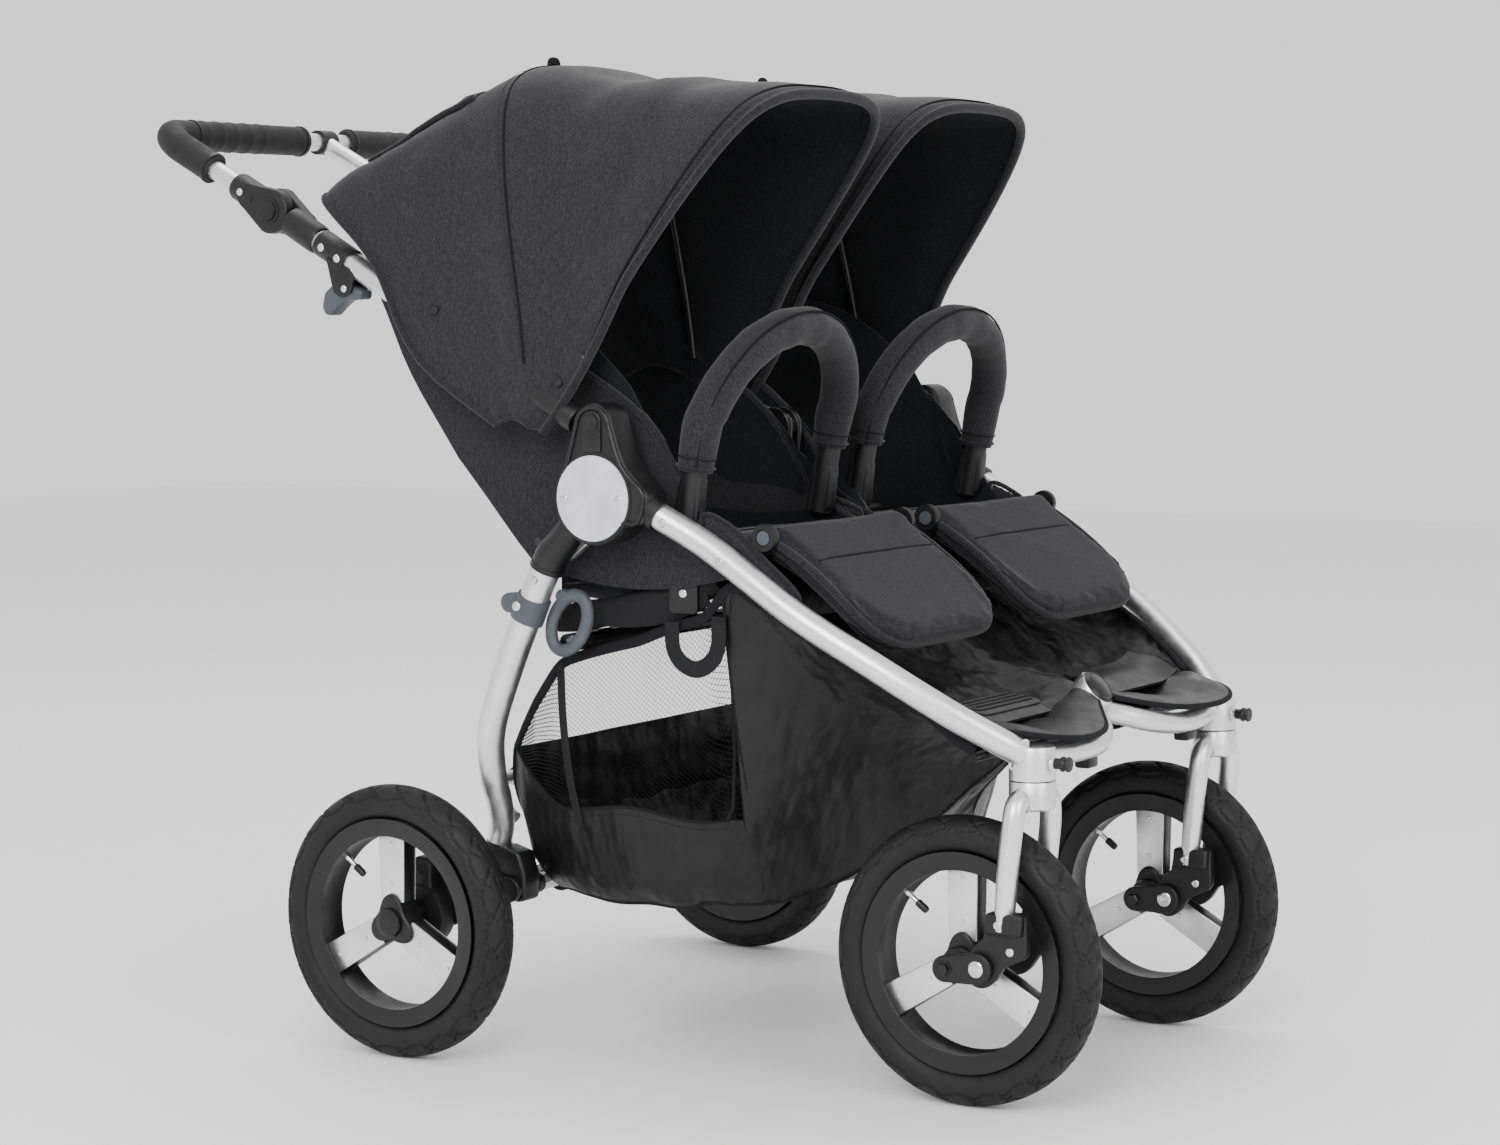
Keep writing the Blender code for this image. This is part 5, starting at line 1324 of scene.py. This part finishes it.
# padded divider between the seats and the sling under them
divider_shape = [(-0.205, 0.596), (-0.12, 0.628), (-0.04, 0.64), (0.028, 0.66), (0.05, 0.64), (0.03, 0.596),
    (-0.06, 0.588)]
puffed(slab("seat_divider", divider_shape, lambda u, v, w: Vector((w, u, v)), -0.022, -0.0145), MELANGE,
    "chassis", 0.003, 0.004)
piped("divider_piping", curve_through([Vector((-0.018, y, z)) for y, z in divider_shape], 5, True), 0.0028,
    "chassis", True)
for side, s in SIDES:
    rows = []
    for k in range(15):
        y = -0.238 + 0.235 * k / 14
        row = []
        for q in range(25):
            t = q / 24
            x = s * (0.03 + 0.276 * t)
            sag = 0.016 * math.sin(math.pi * t) * math.sin(math.pi * min(1, k / 12))
            p = Vector((x, y, 0.552 - 0.02 * k / 14 - sag))
            p.z -= ripple(p, 0.045, 0.004, 3.0)
            row.append(p)
        rows.append(row)
    sling = grid(f"seat_sling_{side}", rows, NYLON, "chassis", "ripstop_fabric", 0.0016)
    cloth_sheet(sling)
    for number, x in enumerate((0.085, 0.255)):
        drop = [(s * x, -0.205, 0.54), (s * x, -0.15, 0.518), (s * x, -0.085, 0.502),
            (s * x, -0.032, 0.486), (s * x, -0.012, 0.4835)]
        strap_along(f"sling_strap_{side}_{number}", curve_through(drop, 4), 0.025, 0.0018, "chassis")

for side, s in SIDES:
    roll = [(s * 0.295, y, z) for y, z in ((0.016, 0.492), (-0.04, 0.502), (-0.095, 0.513), (-0.15, 0.529),
        (-0.195, 0.546))]
    sweep(f"seat_strap_roll_{side}", curve_through(roll, 6), oval(0.011, 0.0165, 20), WEBBING, "chassis",
        scale=lambda t: (0.8 + 0.2 * abs(math.sin(9 * t)),) * 2)
    band = [(s * 0.302, -0.01, 0.505), (s * 0.303, -0.07, 0.5), (s * 0.303, -0.13, 0.507),
        (s * 0.303, -0.185, 0.528)]
    sweep(f"seat_side_strap_{side}", curve_through(band, 6), strap_section(0.022, 0.0022), WEBBING,
        "chassis", normal=(s, 0, 0))
    plate(f"seat_bracket_{side}", rounded_box((-0.176, 0.508), (-0.14, 0.556), (0.006,) * 4, 5), s * 0.3055,
        s * 0.3095, BLACK, "chassis", 0.0012, 2)
    rivet(f"seat_bracket_screw_{side}", (s * 0.3095, -0.158, 0.53), (s, 0, 0), STEEL, "chassis", 0.005,
        0.002)

# ---------------------------------------------------------------- hoods
HOOD_Z = 0.71
SEAM_ANGLE = 79.5
RIM_ANGLE = 127.0
# (angle, distance from the axis) of the hood's outline seen from the side
REACH = ((30.0, 0.398), (39.0, 0.4), (56.0, 0.376), (66.0, 0.378), (79.5, 0.393), (95.0, 0.374),
    (110.0, 0.392), (127.0, 0.431), (150.0, 0.431))
# (x, share of the reach) once round the hood from its outer end to its inner end
PLAN = ((0.35, 0.045), (0.349, 0.2), (0.346, 0.35), (0.34, 0.55), (0.332, 0.7), (0.318, 0.83), (0.3, 0.915),
    (0.276, 0.962), (0.245, 0.988), (0.205, 0.998), (0.165, 1.0), (0.125, 0.998), (0.09, 0.988),
    (0.064, 0.968), (0.044, 0.93), (0.032, 0.86), (0.026, 0.74), (0.024, 0.55), (0.023, 0.35),
    (0.0225, 0.12))


def reach_at(angle):
    for (a, low), (b, high) in zip(REACH, REACH[1:]):
        if angle <= b:
            t = max(0.0, min(1.0, (angle - a) / (b - a)))
            t = t * t * (3 - 2 * t)
            return low + (high - low) * t
    return REACH[-1][1]


HOOD_PLAN = [(p.x, p.y) for p in resampled(curve_through([(x, r * 0.4, 0) for x, r in PLAN], 5), 73)]
HOOD_PLAN = [(x, r / 0.4) for x, r in HOOD_PLAN]


def hood_angle(share, r, part):
    """Angle round the hood axis: share 0 to 1 goes from a panel's back edge to its front."""
    if part == "rear":
        first = stepped(REAR_EDGE, r)
        return first + (SEAM_ANGLE - first) * share
    last = RIM_ANGLE + 18.0 * max(0.0, (0.42 - r) / 0.42) ** 1.2
    return SEAM_ANGLE + (last - SEAM_ANGLE) * share


def hood_point(share, k, part, s, lift=0.0):
    x, r = HOOD_PLAN[k]
    if part == "rear":
        # the back edge is squarer than the hoops: it is held out by the posts
        r = 1 - (1 - min(1, r)) ** (1 + 1.9 * (1 - share) ** 1.2)
    angle = hood_angle(share, r, part)
    tension = math.sin(math.pi * share)
    reach = reach_at(angle) * r
    radial = heading(angle)
    p = Vector((x, 0, HOOD_Z)) + radial * (reach + lift)
    hang = max(0.0, 1 - r / 0.3) ** 1.5
    p += Vector((0, 0.01, -0.03)) * hang
    p.x += lift * (0.8 if r < 0.9 and x > 0.17 else (-0.8 if r < 0.9 else 0.0))
    sag = (0.005 if part == "rear" else 0.0065) * tension
    p -= radial * sag * min(1.0, r * 1.3)
    p.x -= 0.0075 * tension * math.sin(math.pi * min(1, r)) * (1 if x > 0.17 else -1)
    wrinkle = ripple(p, 0.04, 0.0035, 2.0 * s) + ripple(p, 0.017, 0.0012, 5.0)
    fan = 0.0005 * math.sin(angle * 0.42 + 3 * noise.noise(p * 9)) * math.exp(-((r - 0.25) / 0.2) ** 2)
    p += radial * wrinkle * 0.6 * tension
    p.x += (wrinkle + fan) * tension
    return Vector((p.x * s, p.y, p.z))


def hood_blend(obj, part):
    """Bakes the placement of the cloth, and of what is sewn to it, into its mesh, the same for either
    panel.
    """
    if part == "rear":
        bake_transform(obj)
    else:
        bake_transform(obj)


def hood_trim(name, points, section, mat, part):
    obj = sweep(name, points, section, mat)
    hood_blend(obj, part)
    return obj


for side, s in SIDES:
    for part, columns in (("rear", 28), ("front", 30)):
        ways = range(73) if s > 0 else range(72, -1, -1)
        rows = [[hood_point(c / columns, k, part, s) for k in ways] for c in range(columns + 1)]
        panel = grid(f"hood_{part}_{side}", rows, MELANGE, None, "canopy_fabric", 0.0016, LINING, angle=80)
        cloth_sheet(panel)
        hood_blend(panel, part)
    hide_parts(f"canopy_{side}")
    rod = sweep(f"hood_rod_{side}", smoothed([hood_point(1.0, k, "rear", s, -0.005)
        for k in range(2, 72, 2)]), circle(0.0036, 12), BLACK, f"hood_{side}")
    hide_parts(f"canopy_mid_bow_{side}")
    rim_line = smoothed([hood_point(1.0, k, "front", s, -0.0005) for k in range(73)])
    rim_piece = hood_trim(f"hood_rim_{side}", rim_line, oval(0.0062, 0.0046, 16), HEM, "front")
    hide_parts(f"canopy_front_bow_{side}")
    hood_trim(f"hood_edge_rear_{side}", smoothed([hood_point(0.0, k, "rear", s) for k in range(73)]),
        circle(0.0034, 12), HEM, "rear")
    for number, (part, share, gauge) in enumerate((("rear", 0.99, 0.0015), ("front", 0.945, 0.0013))):
        seam_line = smoothed([hood_point(share, k, part, s, 0.0008) for k in range(4, 70)])
        hood_trim(f"hood_seam_{side}_{number}", seam_line, circle(gauge, 8), THREAD, part)
    for number, (part, share) in enumerate((("rear", 0.955), ("front", 0.97), ("rear", 0.04))):
        lane = [hood_point(share, k, part, s, 0.0012) for k in range(3, 71)]
        thread = stitches(f"hood_stitch_{side}_{number}", lane, HEM, None)
        hood_blend(thread, part)
    for number, (part, share, k, gauge, mat) in enumerate((("front", 0.9, 5, 0.0075, BLACK),
            ("front", 0.72, 3, 0.0045, BLACK), ("rear", 0.3, 6, 0.005, BLACK))):
        spot = hood_point(share, k, part, s, 0.0015)
        snap = lathe(f"hood_snap_{side}_{number}", spot, (s, 0, 0),
            [(gauge, 0), (gauge, 0.0016), (gauge * 0.7, 0.003), (gauge * 0.5, 0.0026), (0, 0.0026)], mat,
            None, 24)
        hood_blend(snap, part)
    # a vent laid over the top of the back panel, and a pull loop on the seam
    outer_k, inner_k = 27, 45
    vent_rows = []
    for c in range(21):
        share = 0.2 + 0.6 * c / 20
        vent_row = []
        for k in range(outer_k, inner_k + 1):
            rim = min(c / 2.0, (20 - c) / 2.0, (k - outer_k) / 1.0, (inner_k - k) / 1.0, 1.0)
            vent_row.append(hood_point(share, k, "rear", s, 0.0022 + 0.0055 * rim))
        vent_rows.append(vent_row if s > 0 else vent_row[::-1])
    vent = grid(f"hood_vent_{side}", vent_rows, MELANGE, None, "canopy_fabric", 0.0012)
    cloth_sheet(vent)
    hood_blend(vent, "rear")
    first, last = (outer_k, inner_k)
    outline = [hood_point(0.2 + 0.6 * c / 20, first, "rear", s, 0.0045) for c in range(20, 0, -1)]
    outline += [hood_point(0.2, k, "rear", s, 0.0045) for k in range(first, last)]
    outline += [hood_point(0.2 + 0.6 * c / 20, last, "rear", s, 0.0045) for c in range(21)]
    hood_trim(f"hood_vent_piping_{side}", smoothed(outline, 1), circle(0.003, 10), HEM, "rear")
    loop_foot = hood_point(1.0, 34, "rear", s, -0.001)
    loop_path = [loop_foot + Vector((dx, 0, dz)) for dx, dz in ((-0.0065, 0), (-0.006, 0.0042), (0, 0.0056),
        (0.006, 0.0042), (0.0065, 0))]
    sweep(f"hood_pull_{side}", curve_through(loop_path, 4), strap_section(0.011, 0.0022), BINDING,
        f"hood_{side}", normal=(0, 1, 0))
    for part in ("rear", "front"):
        for edge in (0, 72):
            hem_line = [hood_point(c / 16, edge, part, s, 0.0006) for c in range(17)]
            hood_trim(f"hood_hem_{part}_{side}_{edge}", smoothed(hem_line), circle(0.0024, 10), HEM, part)

# ---------------------------------------------------------------- footwell
# (y, half width, edge height, well height, middle ridge height) along the footwell
WELL = ((-0.236, 0.313, 0.546, 0.508, 0.518), (-0.262, 0.312, 0.535, 0.495, 0.505),
    (-0.34, 0.306, 0.488, 0.448, 0.462), (-0.41, 0.288, 0.45, 0.412, 0.43),
    (-0.452, 0.268, 0.423, 0.402, 0.424), (-0.476, 0.252, 0.408, 0.393, 0.418))


def between(table, y):
    """Values of a table at y, its first column, with a smooth curve through its rows."""
    rows = sorted(table)
    if y <= rows[0][0]:
        return rows[0][1:]
    for k in range(len(rows) - 1):
        if y <= rows[k + 1][0]:
            t = (y - rows[k][0]) / (rows[k + 1][0] - rows[k][0])
            before, after = rows[max(0, k - 1)], rows[min(len(rows) - 1, k + 2)]
            values = []
            for q in range(1, len(rows[0])):
                a, b, c, d = before[q], rows[k][q], rows[k + 1][q], after[q]
                values.append(0.5 * (2 * b + (c - a) * t + (2 * a - 5 * b + 4 * c - d) * t * t
                    + (3 * b - a - 3 * c + d) * t ** 3))
            return values
    return rows[-1][1:]


rows = []
for i in range(46):
    y = -0.236 - 0.24 * i / 45
    half, edge_z, well_z, ridge_z = between(WELL, y)
    profile = [(half, edge_z), (half * 0.97, edge_z - 0.35 * (edge_z - well_z)),
        (half * 0.86, well_z + 0.008), (half * 0.7, well_z), (half * 0.4, well_z),
        (half * 0.22, well_z + 0.35 * (ridge_z - well_z)), (half * 0.08, ridge_z), (0.0, ridge_z + 0.001)]
    right = curve_through([(-x, y, z) for x, z in profile], 6)
    row = right + [Vector((-p.x, p.y, p.z)) for p in reversed(right[:-1])]
    for q, p in enumerate(row):
        hold = min(1.0, 5 * min(q, len(row) - 1 - q) / len(row))
        p.z += hold * (ripple(p, 0.055, 0.01, 1.0) + ripple(p, 0.022, 0.0035, 7.0) - 0.002)
    rows.append(row)
well = grid("foot_tray", rows, NYLON, "chassis", "ripstop_fabric", 0.0018)
cloth_sheet(well)
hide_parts("footwell")
for tag, index in (("right", 0), ("left", -1)):
    sweep(f"tray_binding_{tag}", smoothed([row[index] for row in rows]), circle(0.004, 12), BINDING,
        "chassis")
sweep("tray_binding_front", smoothed(rows[-1][2:-2], 1), circle(0.0036, 10), BINDING, "chassis")
sweep("tray_binding_back", smoothed(rows[0][2:-2], 1), circle(0.0036, 10), BINDING, "chassis")
for side, s in SIDES:
    pad_rows = []
    for i in range(14):
        y = -0.412 - 0.062 * i / 13
        half, edge_z, well_z, ridge_z = between(WELL, y)
        pad_rows.append([Vector((s * x, y, well_z + 0.0055 + 0.003 * math.sin(math.pi * i / 13)
            + 0.016 * max(0, (x - 0.185) / 0.06) ** 2)) for x in [0.07 + 0.0085 * q for q in range(20)]])
    grid(f"toe_pad_{side}", pad_rows, PVC, "chassis", "black_plastic", 0.0035)
    for number in range(5):
        source = pad_rows[2 + 2 * number]
        sweep(f"toe_rib_{side}_{number}", [p + Vector((0, 0, 0.0008)) for p in source[1:-1]],
            circle(0.0013, 8), PVC, "chassis")

# (x, y, z) round the free edge of a footwell front cover
TONGUE = ((0.02, -0.5, 0.404), (0.05, -0.52, 0.396), (0.09, -0.545, 0.3885), (0.13, -0.558, 0.3865),
    (0.17, -0.561, 0.387), (0.205, -0.553, 0.3905), (0.232, -0.532, 0.395), (0.246, -0.5, 0.399))
for side, s in SIDES:
    brim = smoothed(curve_through([(s * x, y, z) for x, y, z in TONGUE], 5), 1)
    base_line = sorted((abs(p.x), p.z) for p in rows[-1] if p.x * s >= 0)
    tongue_rows = []
    for r in range(9):
        u = r / 8
        arch = 0.0045 * math.sin(math.pi * u)
        tongue_rows.append([Vector((p.x, -0.47, stepped(base_line, abs(p.x)) + 0.0016)).lerp(p, u)
            + Vector((0, 0, arch)) for p in brim])
    shown = tongue_rows if s > 0 else [row[::-1] for row in tongue_rows]
    tongue = grid(f"tray_tongue_{side}", shown, PVC, "chassis", "ripstop_fabric", 0.0022)
    cloth_sheet(tongue)
    sweep(f"tray_tongue_binding_{side}", brim, circle(0.0032, 10), BINDING, "chassis")

# ---------------------------------------------------------------- basket
# (y, top half width, top height, floor half width, floor height) along the basket
TUB = ((-0.482, 0.262, 0.378, 0.022, 0.368), (-0.43, 0.285, 0.424, 0.022, 0.36),
    (-0.39, 0.296, 0.445, 0.024, 0.345), (-0.35, 0.306, 0.472, 0.03, 0.309),
    (-0.31, 0.312, 0.496, 0.06, 0.268), (-0.28, 0.314, 0.512, 0.105, 0.236),
    (-0.25, 0.316, 0.528, 0.17, 0.211), (-0.222, 0.317, 0.541, 0.222, 0.2),
    (-0.19, 0.314, 0.506, 0.262, 0.196), (-0.16, 0.311, 0.497, 0.278, 0.195),
    (-0.1, 0.306, 0.476, 0.284, 0.19), (0.01, 0.298, 0.446, 0.272, 0.19),
    (0.055, 0.288, 0.396, 0.256, 0.193), (0.082, 0.276, 0.362, 0.248, 0.212),
    (0.097, 0.266, 0.343, 0.246, 0.262))
TUB_BACK = 0.097
PANEL_SEAM = -0.222


def tub_side(y, v, s):
    """A point of the basket's side wall: v is 0 at the floor and 1 at the top edge."""
    top_half, top_z, floor_half, floor_z = between(TUB, y)
    bulge = 0.01 * math.sin(math.pi * v)
    x = floor_half + (top_half - floor_half) * v + bulge - 0.014 * max(0, 1 - v / 0.12) ** 2
    z = floor_z + (top_z - floor_z) * v
    return Vector((s * x, y, z))


def solid_height(y):
    """Share of the side wall that is plain cloth: the netting above it starts behind the front panel."""
    if y < PANEL_SEAM + 0.008:
        return 1.0
    _, top_z, _, floor_z = between(TUB, y)
    level = 0.289 + 0.005 * math.cos((y + 0.08) * 34) + 0.054 * max(0.0, (y - 0.02) / 0.077) ** 1.3
    return min(1.0, (level - floor_z) / (top_z - floor_z))


tub_ys = [-0.482 + (TUB_BACK + 0.482) * i / 80 for i in range(81)]
rows = []
for y in tub_ys:
    top_half, top_z, floor_half, floor_z = between(TUB, y)
    limit = solid_height(y)
    right = [tub_side(y, limit * (1 - q / 13), -1) for q in range(14)]
    floor = [Vector((-x, y, floor_z)) for x in [(floor_half - 0.016) * (1 - q / 12) for q in range(13)]]
    row = right + floor
    row += [Vector((-p.x, p.y, p.z)) for p in reversed(row[:-1])]
    for q, p in enumerate(row):
        loose = min(1.0, 6 * min(q, len(row) - 1 - q) / len(row))
        fold = 0.009 * noise.noise(Vector((y * 26, p.z * 5, 2.0))) * (0.35 + 0.65 * (y < -0.22))
        p.z += loose * (ripple(p, 0.06, 0.008, 4.0) - 0.004)
        p.x += loose * math.copysign(fold, p.x) * min(1, abs(p.x) / 0.2)
    rows.append(row)
tub = grid("basket_cloth", rows, NYLON, "chassis", "ripstop_fabric", 0.0016)
cloth_sheet(tub)
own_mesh(tub)
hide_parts("basket")
soft_pieces = []
for side, s in SIDES:
    edge = -1 if s > 0 else 0
    scoop_line = smoothed([row[edge] for row in rows])
    soft_pieces.append(sweep(f"basket_scoop_binding_{side}", scoop_line, circle(0.0022, 10), BINDING,
        "chassis"))
    soft_pieces.append(stitches(f"basket_scoop_stitch_{side}", [p + Vector((s * 0.0012, 0, -0.008))
        for p in scoop_line], WEBBING, "chassis"))
    top_line = smoothed([tub_side(y, 1.0, s) for y in tub_ys])
    soft_pieces.append(sweep(f"basket_top_binding_{side}", top_line, oval(0.0026, 0.0058, 14), BINDING,
        "chassis", normal=(0, 0, 1)))
    seam_rise = [tub_side(PANEL_SEAM + 0.009, 0.3 + 0.7 * v / 20, s) for v in range(21)]
    soft_pieces.append(sweep(f"basket_seam_binding_{side}", seam_rise, circle(0.0024, 10), BINDING,
        "chassis"))
    back_line = [tub_side(TUB_BACK, v / 20, s) for v in range(21)]
    soft_pieces.append(sweep(f"basket_back_binding_{side}", back_line, circle(0.0034, 10), BINDING,
        "chassis"))

    # netting: two families of diagonal strands between the scooped edge and the top binding
    start_y, stop_y, pitch = PANEL_SEAM, TUB_BACK - 0.001, 0.0062
    verts, faces = [], []
    for lean in (-1, 1):
        count = int((stop_y - start_y + 0.4) / pitch)
        for n in range(count):
            offset = start_y - 0.2 + n * pitch
            strand = []
            for m in range(67):
                v = m / 66
                y = offset + lean * (v - 0.5) * 0.3
                inside = start_y < y < stop_y and v > solid_height(y) - 0.01
                if inside:
                    strand.append(tub_side(y, v, s) + Vector((s * 0.0005 * lean, 0, 0)))
                if strand and (not inside or m == 66):
                    if len(strand) > 1:
                        base = len(verts)
                        for p in strand:
                            verts += [p + Vector((0.0005, 0, 0)), p
                                + Vector((-0.0003, 0.0004 * lean, 0.0004)),
                                p + Vector((-0.0003, -0.0004 * lean, -0.0004))]
                        for q in range(len(strand) - 1):
                            for w in range(3):
                                x = (w + 1) % 3
                                faces.append((base + 3 * q + w, base + 3 * q + x, base + 3 * q + 3 + x,
                                    base + 3 * q + 3 + w))
                        faces.append((base, base + 1, base + 2))
                        faces.append((len(verts) - 1, len(verts) - 2, len(verts) - 3))
                    strand = []
    soft_pieces.append(make(f"basket_net_{side}", verts, faces, NETTING, "chassis"))

    off = Vector((s * 0.003, 0, 0))
    strap = [tub_side(0.009, 1.0, s) + off, tub_side(0.006, 0.75, s) + off, tub_side(0.0, 0.5, s) + off,
        tub_side(-0.008, 0.3, s) + off]
    soft_pieces.append(sweep(f"basket_strap_{side}", curve_through(strap, 5), strap_section(0.01, 0.0014),
        WEBBING, "chassis", normal=(s, 0, 0)))
    hang = [(s * 0.3175, y, z) for y, z in ((-0.149, 0.5), (-0.15, 0.474), (-0.16, 0.458), (-0.179, 0.451),
        (-0.197, 0.459), (-0.207, 0.476), (-0.208, 0.508))]
    soft_pieces.append(sweep(f"basket_loop_{side}", curve_through(hang, 5), strap_section(0.018, 0.002),
        WEBBING, "chassis", normal=(s, 0, 0)))
    low_edge = smoothed([row[13] if s < 0 else row[-14] for row in rows])
    soft_pieces.append(sweep(f"basket_low_binding_{side}", low_edge, circle(0.0026, 10), BINDING,
        "chassis"))
for piece in soft_pieces:
    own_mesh(piece)
back_rows = [[tub_side(TUB_BACK, 1 - r / 6.5, -1).lerp(tub_side(TUB_BACK, 1 - r / 6.5, 1), q / 40)
    + Vector((0, ripple((q / 40, r / 8, 0), 0.15, 0.004, 3), 0)) for q in range(41)] for r in range(9)]
rear_face = grid("basket_back", back_rows, NYLON, "chassis", "ripstop_fabric", 0.0016)
cloth_sheet(rear_face)
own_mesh(rear_face)
front_rows = [[rows[0][0].lerp(rows[0][-1], q / 30) + Vector((0, 0, -0.01 * r / 8))
    + Vector((0, ripple((q / 30, r / 8, 0), 0.2, 0.002), 0)) for q in range(31)] for r in range(9)]
face = grid("basket_front", front_rows, NYLON, "chassis", "ripstop_fabric", 0.0016)
cloth_sheet(face)

# ---------------------------------------------------------------- small fittings
sleeve = [p for p in hoop_line if abs(p.x) < 0.185]
sweep("hoop_sleeve", sleeve, circle(0.0112, 20), NYLON, "rear_frame")
for number, x in enumerate((-0.12, 0.12)):
    plate(f"cross_clip_{number}", rounded_box((-0.546, 0.348), (-0.528, 0.36), (0.003,) * 4, 4), x - 0.01,
        x + 0.01, BLACK, "chassis", 0.002, 2)
for number, x in enumerate((-0.246, -0.1, 0.1, 0.246)):
    sweep(f"axle_ring_{number}", [(x - 0.005, *AXLE), (x + 0.005, *AXLE)], circle(0.0116, 24), BLACK,
        "rear_frame")

# ---------------------------------------------------------------- studio
floor = Surface("pale_floor", (0.93, 0.93, 0.93), 0.6).mat
wall_rows = []
for i in range(3):
    y = -8 + 8 * i
    wall_rows.append([Vector((x, y, 0)) for x in (-8, 0, 8)])
ground = make("studio_floor", [p for row in wall_rows for p in row],
    [(0, 3, 4, 1), (1, 4, 5, 2), (3, 6, 7, 4), (4, 7, 8, 5)], floor)
world = bpy.data.worlds.new("studio_world")
world.use_nodes = True
world.node_tree.nodes["Background"].inputs["Color"].default_value = (1.0, 1.0, 1.0, 1)
world.node_tree.nodes["Background"].inputs["Strength"].default_value = 1.25
bpy.context.scene.world = world


def soft_light(name, place, target, size, energy):
    light = bpy.data.lights.new(name, "AREA")
    light.shape = "DISK"
    light.size = size
    light.energy = energy
    lamp = bpy.data.objects.new(name, light)
    bpy.context.scene.collection.objects.link(lamp)
    lamp.location = place
    lamp.rotation_euler = (Vector(target) - Vector(place)).to_track_quat("-Z", "Y").to_euler()


soft_light("key_light", (-3.6, -1.2, 2.4), (0, 0, 0.6), 2.2, 120)
soft_light("fill_light", (-1.0, -3.6, 2.0), (0, 0, 0.5), 2.2, 50)
soft_light("top_light", (0.6, 0.8, 3.6), (0, 0, 0.7), 2.4, 45)

lens = bpy.data.cameras.new("main_view")
lens.sensor_width = 36
lens.lens = 77.24
lens.shift_x = -0.0222
lens.shift_y = 0.0041
eye = bpy.data.objects.new("main_view", lens)
bpy.context.scene.collection.objects.link(eye)
eye.location = (-3.1097, -2.0519, 0.8446)
yaw, pitch, roll = math.radians(-57.7242), math.radians(5.0718), math.radians(-0.4241)
look = Vector((-math.sin(yaw) * math.cos(pitch), math.cos(yaw) * math.cos(pitch), -math.sin(pitch)))
right = look.cross(UP).normalized()
top = right.cross(look)
right, top = right * math.cos(roll) + top * math.sin(roll), top * math.cos(roll) - right * math.sin(roll)
eye.rotation_euler = Matrix((right, top, -look)).transposed().to_euler()
bpy.context.scene.camera = eye
